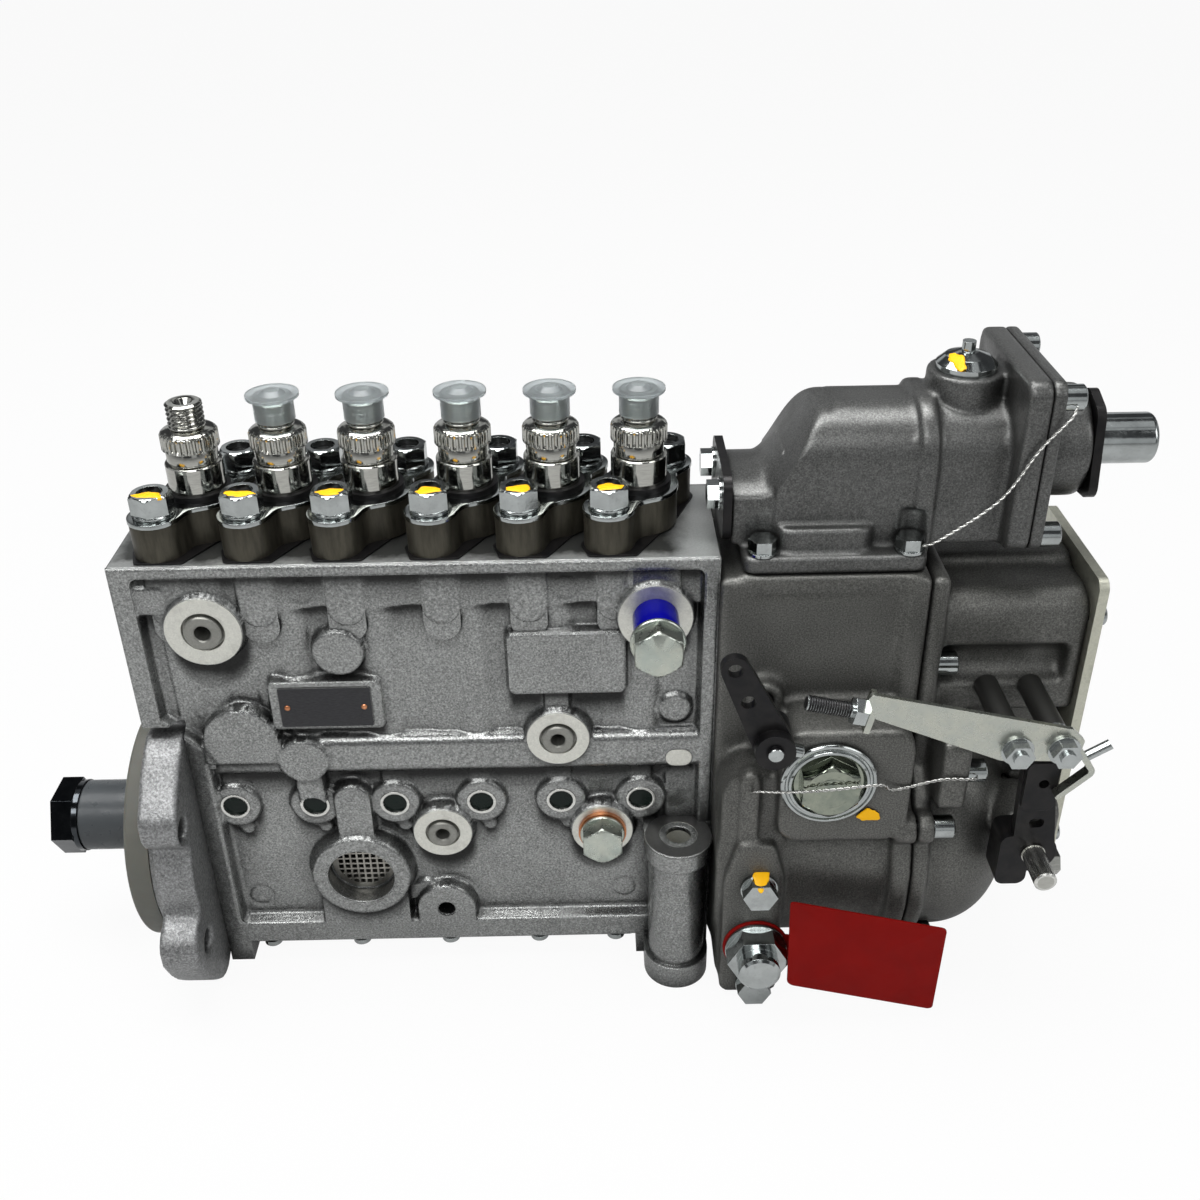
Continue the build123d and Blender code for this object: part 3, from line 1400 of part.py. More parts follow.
with BuildPart() as compensator_housing:
    with BuildSketch(Plane.XY.offset(compensator_seat)):
        with Locations(((pad_left + pad_right) / 2, 0)):
            RectangleRounded(pad_right - pad_left, 2 * base_half, 5.0)
    extrude(amount=compensator_base_top - compensator_seat)
    # foot of the body, with a bulge over the linkage
    with BuildSketch(Plane.XY.offset(compensator_base_top)):
        with Locations((foot_middle, 0)):
            Rectangle(2 * (compensator_flange_left - foot_middle), 2 * arch_half)
        with Locations((linkage_x, 0)):
            RectangleRounded(*linkage_size, 8.0)
    extrude(amount=foot_height)
    # long arched body
    with BuildSketch(Plane.YZ.offset(arch_left)):
        with Locations((0, (compensator_base_top + arch_top) / 2)):
            Rectangle(2 * arch_half, arch_top - compensator_base_top)
        fillet(vertices().sort_by(Axis.Y)[-2:], radius=arch_corner)
    extrude(amount=compensator_flange_left - arch_left)
    # low square head at the left end
    with BuildSketch(Plane.YZ.offset(end_left + 2)):
        with Locations((0, (compensator_base_top + head_top) / 2)):
            Rectangle(head_width, head_top - compensator_base_top)
        fillet(vertices().sort_by(Axis.Y)[-2:], radius=8.0)
    extrude(amount=head_length)
    # ramp from the head up to the arch
    with BuildSketch(Plane.XZ.offset(-arch_half + 5)):
        with BuildLine():
            Polyline(
                (governor_left + 14.5, 175.0),
                (arch_left + 8, arch_top - 2),
                (arch_left + 8, 160.0),
                close=True,
            )
        make_face()
    extrude(amount=2 * arch_half - 10)
    with BuildSketch(Plane.YZ.offset(band_left)):
        with Locations((0, (compensator_base_top + arch_top) / 2)):
            Rectangle(2 * arch_half + band_rise, arch_top + band_rise - compensator_base_top)
        fillet(vertices().sort_by(Axis.Y)[-2:], radius=arch_corner + 1.0)
    extrude(amount=band_width)
    with BuildSketch(Plane.YZ.offset(compensator_flange_left)):
        with Locations((0, flange_middle)):
            RectangleRounded(2 * compensator_flange_half, flange_height, flange_corner)
    extrude(amount=compensator_seam - compensator_flange_left)
    # upright boss of the dome plug
    with BuildSketch(Plane.XY.offset(dome_boss_base)):
        with Locations((dome_x, 0)):
            Circle(dome_boss_radius)
    extrude(amount=dome_seat - dome_boss_base)
    # spring room and holes
    with BuildSketch(Plane.YZ.offset(arch_left + 4)):
        with Locations((0, compensator_axis_z)):
            Circle(bore_radius)
    extrude(amount=compensator_seam, mode=Mode.SUBTRACT)
    with BuildSketch(Plane.XY.offset(compensator_seat)):
        with Locations(((pad_left + pad_right) / 2, 0)):
            Circle(vent_radius)
    extrude(amount=24.0, mode=Mode.SUBTRACT)
    with BuildSketch(Plane.XY.offset(dome_seat)):
        with Locations((dome_x, 0)):
            Circle(dome_plug_radius + running)
    extrude(amount=-8.0, mode=Mode.SUBTRACT)
    with BuildSketch(Plane.YZ.offset(compensator_seam)):
        with Locations(*flange_screw_places):
            Circle(flange_screw_radius + running)
    extrude(amount=-8.0, mode=Mode.SUBTRACT)
    with BuildSketch(Plane.YZ.offset(end_left + 2)):
        with Locations(*end_bolt_places):
            Circle(flange_screw_radius + running)
    extrude(amount=8.0, mode=Mode.SUBTRACT)
    with BuildSketch(Plane.XY.offset(compensator_base_top)):
        with Locations(*pad_bolts):
            Circle(pad_bolt_radius + running)
    extrude(amount=compensator_seat - compensator_base_top, mode=Mode.SUBTRACT)
    # spot-faced pockets of the base bolts
    with BuildSketch(Plane.XY.offset(compensator_base_top)):
        with Locations(*pad_bolts):
            Circle(bolt_pocket_radius)
    extrude(amount=bolt_pocket_depth, mode=Mode.SUBTRACT)
compensator_housing.part.label = "compensator_housing"
export_step(compensator_housing.part, "parts/compensator_housing.step")

cover_hub_radius = 22.5
stem_travel = 8.0
with BuildPart() as compensator_cover:
    with BuildSketch(Plane.YZ.offset(compensator_seam)):
        with Locations((0, flange_middle)):
            RectangleRounded(2 * compensator_flange_half, flange_height, flange_corner)
    extrude(amount=compensator_right - compensator_seam)
    with BuildSketch(Plane.YZ.offset(compensator_right)):
        with Locations((0, compensator_axis_z)):
            Circle(cover_hub_radius)
    extrude(amount=hub_right - compensator_right)
    fillet(compensator_cover.edges().group_by(Axis.X)[-1], radius=2.5)
    with BuildSketch(Plane.YZ.offset(compensator_seam)):
        with Locations((0, compensator_axis_z)):
            Circle(bore_radius - 2)
    extrude(amount=14.0, mode=Mode.SUBTRACT)
    with BuildSketch(Plane.YZ.offset(compensator_seam)):
        with Locations((0, compensator_axis_z)):
            Circle(stem_radius + running)
        with Locations(*flange_screw_places):
            Circle(flange_screw_radius + running)
    extrude(amount=hub_right - compensator_seam, mode=Mode.SUBTRACT)
compensator_cover.part.label = "compensator_cover"
export_step(compensator_cover.part, "parts/compensator_cover.step")

cup_start = hub_right + 3.5
cup_end = governor_left + 174.0
with BuildPart() as cup_flange:
    with BuildSketch(Plane.YZ.offset(hub_right)):
        with Locations((0, compensator_axis_z)):
            Circle(16.5)
        with Locations((-12.5, 197.5), (12.5, 169.1)):
            Circle(6.5)
        with Locations((-5.5, 201.0), (-17.5, 172.0)):
            Circle(5.6)
        make_hull()
        with Locations((0, compensator_axis_z)):
            Circle(stem_radius + 1.0, mode=Mode.SUBTRACT)
    extrude(amount=3.5)
cup_flange.part.label = "cup_flange"
export_step(cup_flange.part, "parts/cup_flange.step")

with BuildPart() as compensator_cup:
    with BuildSketch(Plane.YZ.offset(cup_start)):
        with Locations((0, compensator_axis_z)):
            Circle(10.2)
    extrude(amount=cup_end - cup_start)
    fillet(compensator_cup.edges().group_by(Axis.X)[-1], radius=2.2)
    with BuildSketch(Plane.YZ.offset(cup_start)):
        with Locations((0, compensator_axis_z)):
            Circle(14.5)
    extrude(amount=1.6)
    with BuildSketch(Plane.YZ.offset(cup_start)):
        with Locations((0, compensator_axis_z)):
            Circle(8.0)
    extrude(amount=cup_end - cup_start - 2.5, mode=Mode.SUBTRACT)
compensator_cup.part.label = "compensator_cup"
export_step(compensator_cup.part, "parts/compensator_cup.step")

with BuildPart() as compensator_end_plate:
    with BuildSketch(Plane.YZ.offset(end_left - 1.5)):
        with Locations((0, 165.0)):
            RectangleRounded(48.0, 28.0, 6.0)
        with Locations(*end_bolt_places):
            Circle(flange_screw_radius + running, mode=Mode.SUBTRACT)
    extrude(amount=3.5)
compensator_end_plate.part.label = "compensator_end_plate"
export_step(compensator_end_plate.part, "parts/compensator_end_plate.step")

with BuildPart() as compensator_bolts:
    pad_bolt = hex_head_bolt(10.0, 5.0, pad_bolt_radius, 14.0, 5.9, 1.2)
    for x, y in pad_bolts:
        with Locations((x, y, compensator_base_top)):
            add(pad_bolt)
    flange_screw = cap_screw(5.0, 8.0, flange_screw_radius, 12.0, 4.0)
    for y, z in flange_screw_places:
        with Locations(facing_right(compensator_right, y, z)):
            add(flange_screw)
    end_bolt = hex_head_bolt(10.0, 4.6, flange_screw_radius, 8.0, 6.4, 1.2)
    for y, z in end_bolt_places:
        with Locations(facing_left(end_left - 1.5, y, z)):
            add(end_bolt)
compensator_bolts.part.label = "compensator_bolts"
export_step(compensator_bolts.part, "parts/compensator_bolts.step")

dome_profile = [
    (0, -7.0),
    (dome_plug_radius, -7.0),
    (dome_plug_radius, 0),
    (11.8, 0),
    (11.8, 2.4),
    (8.6, 5.4),
    (4.0, 7.0),
    (0, 7.4),
]
with BuildPart() as dome_plug:
    with Locations((dome_x, 0, dome_seat)):
        add(turned(dome_profile))
    with BuildSketch(Plane.XY.offset(dome_seat + 6.6)):
        with Locations((dome_x, 0)):
            Circle(2.6)
    extrude(amount=4.4)
dome_plug.part.label = "dome_plug"
export_step(dome_plug.part, "parts/dome_plug.step")

# ---------------------------------------------------------------- camshaft and what turns with it
lobe_order = [0, 4, 2, 5, 1, 3]
lobe_start_angle = 35.0
shaft_nose = -62.0
taper_start = -13.0
thread_start = -48.5
shaft_thread_radius = 7.0
hub_start = governor_left + 6.5
shaft_end = governor_left + 51.5
tail_radius = 9.0
guide_radius = 7.0
hub_width = 5.8
with BuildPart() as camshaft:
    with BuildSketch(Plane.XZ):
        with BuildLine():
            Polyline(
                (shaft_nose, 0),
                (shaft_nose, shaft_thread_radius - 1),
                (shaft_nose + 1, shaft_thread_radius),
                (thread_start, shaft_thread_radius),
                (thread_start, 10.9),
                (taper_start, 14.5),
                (taper_start + 2.5, 14.5),
                (taper_start + 2.5, cam_journal_radius),
                (front_wall + 0.2, cam_journal_radius),
                (front_wall + 0.2, cam_core_radius),
                (rear_wall - 0.2, cam_core_radius),
                (rear_wall - 0.2, cam_journal_radius),
                (body_length + 2, cam_journal_radius),
                (body_length + 2, tail_radius),
                (hub_start + hub_width + 4, tail_radius),
                (hub_start + hub_width + 4, guide_radius),
                (shaft_end, guide_radius),
                (shaft_end, 0),
                close=True,
            )
        make_face()
    revolve(axis=Axis.X)
    for x, step in zip(barrel_x, lobe_order):
        with BuildSketch(Plane.YZ.offset(x - cam_width / 2)):
            Circle(cam_base_radius)
            angle = radians(lobe_start_angle + 60.0 * step)
            with Locations((nose_centre * cos(angle), nose_centre * sin(angle))):
                Circle(cam_nose_radius)
            make_hull()
        extrude(amount=cam_width)
camshaft.part.label = "camshaft"
export_step(camshaft.part, "parts/camshaft.step")

inner_race = 17.0
roller_count = 10
bearing_roller_radius = 1.7
roller_circle = (inner_race + bearing_race) / 2
with BuildPart() as bearing_inner_rings:
    for start in (front_bearing_start, rear_bearing_start):
        with BuildSketch(Plane.YZ.offset(start)):
            Circle(inner_race)
            Circle(cam_journal_radius + running, mode=Mode.SUBTRACT)
        extrude(amount=bearing_width)
        with BuildSketch(Plane.YZ.offset(start + 1.5)):
            with PolarLocations(roller_circle, roller_count):
                Circle(bearing_roller_radius)
        extrude(amount=bearing_width - 3.0)
bearing_inner_rings.part.label = "bearing_inner_rings"
export_step(bearing_inner_rings.part, "parts/bearing_inner_rings.step")

with BuildPart() as shaft_sleeve:
    with BuildSketch(Plane.YZ.offset(sleeve_end)):
        Circle(sleeve_outer)
        Circle(sleeve_inner, mode=Mode.SUBTRACT)
    extrude(amount=sleeve_start - sleeve_end)
    chamfer(shaft_sleeve.edges().group_by(Axis.X)[0].sort_by(SortBy.RADIUS)[-1:], length=0.8)
shaft_sleeve.part.label = "shaft_sleeve"
export_step(shaft_sleeve.part, "parts/shaft_sleeve.step")

washer_thickness = 2.4
shaft_nut_flats = 31.0
shaft_nut_height = 9.6
with BuildPart() as shaft_nut:
    with BuildSketch(Plane.YZ.offset(sleeve_end - washer_thickness)):
        Circle(16.6)
        Circle(shaft_thread_radius + running, mode=Mode.SUBTRACT)
    extrude(amount=washer_thickness)
    with BuildSketch(Plane.YZ.offset(sleeve_end - washer_thickness - shaft_nut_height)):
        RegularPolygon(shaft_nut_flats / 2, 6, major_radius=False)
        Circle(shaft_thread_radius + running, mode=Mode.SUBTRACT)
    extrude(amount=shaft_nut_height)
shaft_nut.part.label = "shaft_nut"
export_step(shaft_nut.part, "parts/shaft_nut.step")

# governor hub: a collar on the shaft with two forks for the flyweight pins
pin_x = governor_left + 17.5
pin_z = 21.0
pin_radius = 2.5
fork_gap = 9.0
fork_width = 4.0
fork_radius = 4.5
with BuildPart() as governor_hub:
    with BuildSketch(Plane.YZ.offset(hub_start)):
        Circle(17.0)
        Circle(tail_radius + running, mode=Mode.SUBTRACT)
        with Locations((0, pin_z - 3), (0, 3 - pin_z)):
            Rectangle(2 * (fork_gap / 2 + fork_width), 12.0)
    extrude(amount=hub_width)
    for side in (-1, 1):
        for fork_y in (-fork_gap / 2 - fork_width, fork_gap / 2):
            with BuildSketch(Plane.XZ.offset(-fork_y - fork_width)):
                with Locations((pin_x, side * pin_z)):
                    Circle(fork_radius)
                with Locations(((hub_start + 2 + pin_x) / 2, side * pin_z)):
                    Rectangle(pin_x - hub_start - 2, 2 * fork_radius)
            extrude(amount=fork_width)
        with BuildSketch(Plane.XZ.offset(-fork_gap / 2 - fork_width)):
            with Locations((pin_x, side * pin_z)):
                Circle(pin_radius)
        extrude(amount=fork_gap + 2 * fork_width)
    with BuildSketch(Plane.YZ.offset(hub_start)):
        Circle(tail_radius + running)
    extrude(amount=hub_width, mode=Mode.SUBTRACT)
governor_hub.part.label = "governor_hub"
export_step(governor_hub.part, "parts/governor_hub.step")

# flyweights: bent levers with a heavy outer block and a toe that pushes the sliding sleeve
weight_inner = 22.0
weight_outer = 38.0
weight_half_angle = 30.0
toe_depth = 10.5
toe_tip = 6.0
weight_start = governor_left + 25.5
weight_end = governor_left + 49.5
flyweight_parts = []
for side in (1, -1):
    with BuildPart() as flyweight:
        with BuildSketch(Plane.XZ.offset(-(fork_gap / 2 - 0.3))):
            with Locations((pin_x, side * pin_z)):
                Circle(fork_radius)
            with BuildLine():
                Polyline(
                    (pin_x, side * (pin_z + fork_radius)),
                    (pin_x, side * (pin_z - fork_radius)),
                    (pin_x + 1.5, side * (pin_z - toe_depth)),
                    (pin_x + toe_tip, side * (pin_z - toe_depth)),
                    (pin_x + toe_tip, side * pin_z),
                    (weight_start + 2, side * (pin_z + 3)),
                    (weight_start + 2, side * (pin_z + 9)),
                    close=True,
                )
            make_face()
        extrude(amount=fork_gap - 0.6)
        with BuildSketch(Plane.YZ.offset(weight_start)):
            Circle(weight_outer)
            Circle(weight_inner, mode=Mode.SUBTRACT)
            with BuildLine():
                reach = 3 * weight_outer
                spread = radians(weight_half_angle)
                Polyline(
                    (0, 0),
                    (reach * sin(spread), side * reach * cos(spread)),
                    (-reach * sin(spread), side * reach * cos(spread)),
                    close=True,
                )
            make_face(mode=Mode.INTERSECT)
        extrude(amount=weight_end - weight_start)
        fillet(flyweight.edges().group_by(Axis.X)[-1], radius=1.5)
        with BuildSketch(Plane.XZ.offset(-fork_gap)):
            with Locations((pin_x, side * pin_z)):
                Circle(pin_radius + running)
        extrude(amount=2 * fork_gap, mode=Mode.SUBTRACT)
    flyweight_parts.append(flyweight.part)
for number, weight in enumerate(flyweight_parts, start=1):
    weight.label = f"flyweight_{number}"
    export_step(weight, f"parts/flyweight_{number}.step")

with BuildPart() as governor_sleeve:
    with BuildSketch(Plane.YZ.offset(pin_x + toe_tip + seat_gap)):
        Circle(14.0)
    extrude(amount=3.0)
    with BuildSketch(Plane.YZ.offset(pin_x + toe_tip + seat_gap)):
        Circle(10.0)
    extrude(amount=20.0)
    with BuildSketch(Plane.YZ.offset(pin_x + toe_tip + seat_gap)):
        Circle(guide_radius + running)
    extrude(amount=20.0, mode=Mode.SUBTRACT)
governor_sleeve.part.label = "governor_sleeve"
export_step(governor_sleeve.part, "parts/governor_sleeve.step")

# ---------------------------------------------------------------- control rack and plungers
rack_start = 22.0
rack_end = governor_left + 25.5
slot_half = 2.75
slot_depth_y = 19.7
with BuildPart() as control_rack:
    with BuildSketch(Plane.YZ.offset(rack_start)):
        with Locations(((rack_low_y + rack_high_y) / 2, rack_z)):
            Rectangle(rack_high_y - rack_low_y, 2 * rack_half_height)
    extrude(amount=rack_end - rack_start)
    with BuildSketch(Plane.XY.offset(rack_z - rack_half_height)):
        with Locations(*[(x, (rack_low_y - 1 + slot_depth_y) / 2) for x in barrel_x]):
            Rectangle(2 * slot_half, slot_depth_y - rack_low_y + 1)
    extrude(amount=2 * rack_half_height, mode=Mode.SUBTRACT)
    with BuildSketch(Plane.XZ.offset(-rack_low_y + 1)):
        with Locations((rack_end - 6, rack_z)):
            Circle(2.0)
    extrude(amount=-(rack_high_y - rack_low_y + 2), mode=Mode.SUBTRACT)
control_rack.part.label = "control_rack"
export_step(control_rack.part, "parts/control_rack.step")

plunger_profile = [
    (0, tappet_top + 0.3),
    (7.0, tappet_top + 0.3),
    (7.0, tappet_top + 2.8),
    (plunger_radius, tappet_top + 2.8),
    (plunger_radius, 139.5),
    (plunger_radius - 0.5, 140.0),
    (0, 140.0),
]
sleeve_profile = [
    (plunger_radius + running, sleeve_bottom),
    (sleeve_radius, sleeve_bottom),
    (sleeve_radius, barrel_bottom - seat_gap),
    (plunger_radius + running, barrel_bottom - seat_gap),
]
arm_radius = 1.3
ball_radius = 2.45
with BuildPart() as control_sleeve:
    add(turned(sleeve_profile))
    with BuildSketch(Plane.XZ.offset(-sleeve_radius + 1)):
        with Locations((0, rack_z)):
            Circle(arm_radius)
    extrude(amount=-(rack_y - sleeve_radius + 1))
    with Locations((0, rack_y, rack_z)):
        Sphere(ball_radius)
with BuildPart() as plunger:
    add(turned(plunger_profile))
    # fill helix: a slanted groove near the crown
    with BuildSketch(Plane.XZ):
        with BuildLine():
            Polyline((2.6, 139.0), (6.5, 126.0), (6.5, 140.5), (2.6, 140.5), close=True)
        make_face()
    extrude(amount=2.0, both=True, mode=Mode.SUBTRACT)
for number, x in enumerate(barrel_x, start=1):
    with BuildPart() as plunger_set:
        with Locations((x, 0, 0)):
            add(plunger.part)
            add(control_sleeve.part)
    plunger_set.part.label = f"plunger_{number}"
    export_step(plunger_set.part, f"parts/plunger_{number}.step")

# ---------------------------------------------------------------- levers
stop_hub_radius = 8.0
stop_hub_start = 60.0
stop_hub_end = 78.5
stop_arm_front = 74.0
stop_arm_back = 70.0
stop_arm_half = 5.6
stop_holes = [(governor_left + 2.4, 124.0), (governor_left + 7.9, 109.6)]
stop_hole_radius = 2.9
stop_shaft_back = governor_inner_half - 8.0
with BuildPart() as stop_lever:
    with BuildSketch(Plane.XZ.offset(stop_hub_start)):
        with Locations((stop_x, stop_z)):
            Circle(stop_hub_radius)
    extrude(amount=stop_hub_end - stop_hub_start)
    with BuildSketch(Plane.XZ.offset(stop_arm_back)):
        with Locations((stop_x, stop_z)):
            Circle(stop_hub_radius)
        with Locations(stop_holes[0]):
            Circle(stop_arm_half)
        make_hull()
        with Locations(*stop_holes):
            Circle(stop_hole_radius, mode=Mode.SUBTRACT)
    extrude(amount=stop_arm_front - stop_arm_back)
    with BuildSketch(Plane.XZ.offset(stop_shaft_back)):
        with Locations((stop_x, stop_z)):
            Circle(stop_shaft_radius)
    extrude(amount=stop_hub_end + 1.5 - stop_shaft_back)
stop_lever.part.label = "stop_lever"
export_step(stop_lever.part, "parts/stop_lever.step")

lever_hub_back = control_boss_face + seat_gap
lever_front = 68.0
lever_plate = 4.0
lever_tip = (governor_left + 127.1, 69.8)
lever_tip_radius = 6.6
lever_slot = (governor_left + 130.0, 42.0)
spline_radius = 4.2
spline_end = 86.0
with BuildPart() as control_lever:
    with BuildSketch(Plane.XZ.offset(lever_front - lever_plate)):
        with Locations((control_x, control_z)):
            Circle(9.0)
        with Locations(lever_tip):
            Circle(lever_tip_radius)
        make_hull()
    extrude(amount=lever_plate)
    # clamp round the shaft, split on its left side
    with BuildSketch(Plane.XZ.offset(lever_hub_back)):
        with Locations((control_x, control_z)):
            Circle(10.0)
        with Locations((control_x - 7.5, control_z - 4)):
            RectangleRounded(13.0, 26.0, 4.0)
    extrude(amount=lever_front - lever_hub_back)
    # riveted upper plate
    with BuildSketch(Plane.XZ.offset(lever_front)):
        with Locations((governor_left + 127.7, 63.0)):
            RectangleRounded(13.0, 24.0, 3.0)
    extrude(amount=2.8)
    with BuildSketch(Plane.XZ.offset(lever_front + 2.8)):
        with Locations((governor_left + 128.7, 64.6)):
            Circle(2.1)
        with Locations(lever_slot):
            SlotOverall(6.4, 4.6)
    extrude(amount=-lever_plate - 2.8, mode=Mode.SUBTRACT)
    with BuildSketch(Plane.XZ.offset(lever_front)):
        with Locations((control_x, control_z)):
            Circle(control_shaft_radius + running)
    extrude(amount=lever_hub_back - lever_front, mode=Mode.SUBTRACT)
control_lever.part.label = "control_lever"
export_step(control_lever.part, "parts/control_lever.step")

with BuildPart() as control_shaft:
    with BuildSketch(Plane.XZ.offset(recess_wall - cover_wall_thickness - 2)):
        with Locations((control_x, control_z)):
            Circle(control_shaft_radius)
    extrude(amount=lever_front + 1 - recess_wall + cover_wall_thickness + 2)
    with BuildSketch(Plane.XZ.offset(lever_front + 1)):
        with Locations((control_x, control_z)):
            Circle(spline_radius)
    extrude(amount=spline_end - lever_front - 1)
    chamfer(control_shaft.edges().group_by(Axis.Y)[0], length=0.8)
    # clamp screw beside the shaft
    with BuildSketch(Plane.YZ.offset(control_x + 9.0)):
        with Locations((-(lever_front + lever_hub_back) / 2, control_z - 11.0)):
            RegularPolygon(5.0, 6, major_radius=False)
    extrude(amount=5.0)
control_shaft.part.label = "control_shaft"
export_step(control_shaft.part, "parts/control_shaft.step")

plate_x = governor_left + 111.5
plate_radius = 17.0
plate_thickness = 3.0
stem_start = governor_left + 59.5
stem_end = governor_left + 161.5
with BuildPart() as compensator_stem:
    with BuildSketch(Plane.YZ.offset(stem_start)):
        with Locations((0, compensator_axis_z)):
            Circle(stem_radius)
    extrude(amount=stem_end - stem_start)
    with BuildSketch(Plane.YZ.offset(plate_x)):
        with Locations((0, compensator_axis_z)):
            Circle(plate_radius)
    extrude(amount=plate_thickness)
compensator_stem.part.label = "compensator_stem"
export_step(compensator_stem.part, "parts/compensator_stem.step")

# ---------------------------------------------------------------- lock wires
wire_radius = 0.5
wire_bend = 1.4
wire_routes = [
    [
        (governor_left + 13.4, -59.6, 54.6),
        (governor_left + 15.5, -62.6, 57.2),
        (governor_left + 27.2, -69.8, 62.3),
        (governor_left + 42.8, -71.9, 64.7),
        (governor_left + 63.3, -69.8, 64.9),
        (governor_left + 70.5, -64.2, 57.8),
        (governor_left + 90.5, -60.6, 59.6),
        (governor_left + 104.0, -59.4, 58.6),
        (governor_left + 106.9, -55.7, 57.5),
    ],
    [
        (governor_left + 78.05, -33.3, 153.6),
        (governor_left + 84.5, -36.6, 158.6),
        (governor_left + 104.5, -37.0, 174.9),
        (governor_left + 116.4, -37.0, 195.3),
        (governor_left + 126.0, -36.8, 207.5),
        (governor_left + 128.8, -33.9, 211.2),
    ],
]
with BuildPart() as lock_wires:
    for route in wire_routes:
        with BuildLine() as path:
            FilletPolyline(*route, radius=wire_bend)
        with BuildSketch(Plane(origin=path.line @ 0, z_dir=path.line % 0)):
            Circle(wire_radius)
        sweep(path=path.line)
lock_wires.part.label = "lock_wires"
export_step(lock_wires.part, "parts/lock_wires.step")
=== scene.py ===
"""Diesel injection pump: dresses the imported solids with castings, plating, threads and paint."""

import bmesh
import bpy
import numpy as np
from bpy.props import FloatProperty, FloatVectorProperty, IntProperty, PointerProperty
from bpy.types import Operator, Panel, PropertyGroup
from mathutils import Matrix


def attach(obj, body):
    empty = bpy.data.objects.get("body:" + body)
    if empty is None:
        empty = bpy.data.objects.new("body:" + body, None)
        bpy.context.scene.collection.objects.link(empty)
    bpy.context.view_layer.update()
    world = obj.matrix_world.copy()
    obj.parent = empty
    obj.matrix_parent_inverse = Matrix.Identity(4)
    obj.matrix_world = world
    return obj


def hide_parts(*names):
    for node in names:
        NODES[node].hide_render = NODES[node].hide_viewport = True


bl_info = {
    "name": "Injection Pump Dresser",
    "version": (1, 0, 0),
    "blender": (4, 5, 0),
    "location": "3D View > Sidebar > Pump",
    "description": "Castings, plating, threads, wires and paint of an in-line injection pump",
    "category": "Object",
}

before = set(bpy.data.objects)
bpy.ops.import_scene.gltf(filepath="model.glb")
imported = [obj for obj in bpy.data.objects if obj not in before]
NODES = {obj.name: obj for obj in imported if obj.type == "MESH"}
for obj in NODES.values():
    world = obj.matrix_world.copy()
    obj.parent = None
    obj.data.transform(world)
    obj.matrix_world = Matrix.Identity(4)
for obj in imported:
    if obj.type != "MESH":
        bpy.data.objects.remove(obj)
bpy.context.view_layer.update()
FINISHES = {}

MM = 0.001
# All places and sizes below are in millimetres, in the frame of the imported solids.
# Middle of each barrel, how far its two studs stand from it, and the levels of what they hold.
BARREL_X = (31.5, 66.5, 101.5, 139.5, 174.5, 209.5)
EAR = (12.5, 21.0)
BUSHING_BASE = 151.0
CLAMP_BASE = 165.7
CLAMP_TOP = 167.5
NUT_TOP = 177.2
# Depths of the sunken wall, of its faced bosses and of its guide bushes, from the middle plane.
WALL = 27.0
BOSS_FACE = 34.5
BUSH_FACE = 31.5
# Heights of the guide discs and bushes, and how far a stud's rib stands beside its barrel.
GUIDE_Z = 25.6
BUSH_Z = 29.0
RIB_OFFSET = 10.3
# Centres of the inlet and the oil hole in the front wall, as x and z.
INLET = (83.3, -9.5)
OIL_HOLE = (120.0, -32.0)
# Centres of the faces that loose details stand on.
COLUMN = (225.5, -42.0, 17.0)
TIMING_PLUG = (259.0, -62.0, -30.0)
SIGHT_PLUG = (284.5, -62.0, 61.0)
LEVER_PIN = (259.3, -79.3, 88.5)
# Centre and radius of each faced boss of the front wall.
UPPER_PORT = (33.6, 121.0, 15.6)
MIDDLE_PORT = (174.2, 64.7, 13.4)
LOWER_PORT = (121.7, 14.2, 13.0)
GALLERY_BOSS = (215.0, 123.5, 15.2)
PLUG_BOSS = (192.4, 14.0, 13.6)
FRONT_BOSSES = (UPPER_PORT, MIDDLE_PORT, LOWER_PORT, GALLERY_BOSS, PLUG_BOSS)
FRONT = (0.0, -1.0, 0.0)
UP = (0.0, 0.0, 1.0)


# ------------------------------------------------------------------ mesh helpers
def axes_of(direction):
    """Unit columns x, y, z of a local frame whose z is the direction and whose y leans up."""
    z = np.asarray(direction, float)
    z = z / np.linalg.norm(z)
    helper = np.array((0.0, 0.0, 1.0)) if abs(z[2]) < 0.9 else np.array((0.0, 1.0, 0.0))
    x = np.cross(helper, z)
    x = x / np.linalg.norm(x)
    return np.stack([x, np.cross(z, x), z], axis=1)


def placed(points, origin, direction=UP):
    """Local points in millimetres, turned so that local Z is the direction, moved to the origin."""
    return points @ axes_of(direction).T + np.asarray(origin, float)


def quads_of(rows, columns, wrap):
    """Four-sided faces of a grid of rows and columns; wrap joins the last column to the first."""
    index = np.arange(rows * columns).reshape(rows, columns)
    if wrap:
        index = np.hstack([index, index[:, :1]])
    corners = (index[:-1, :-1], index[:-1, 1:], index[1:, 1:], index[1:, :-1])
    return np.stack(corners, axis=-1).reshape(-1, 4)


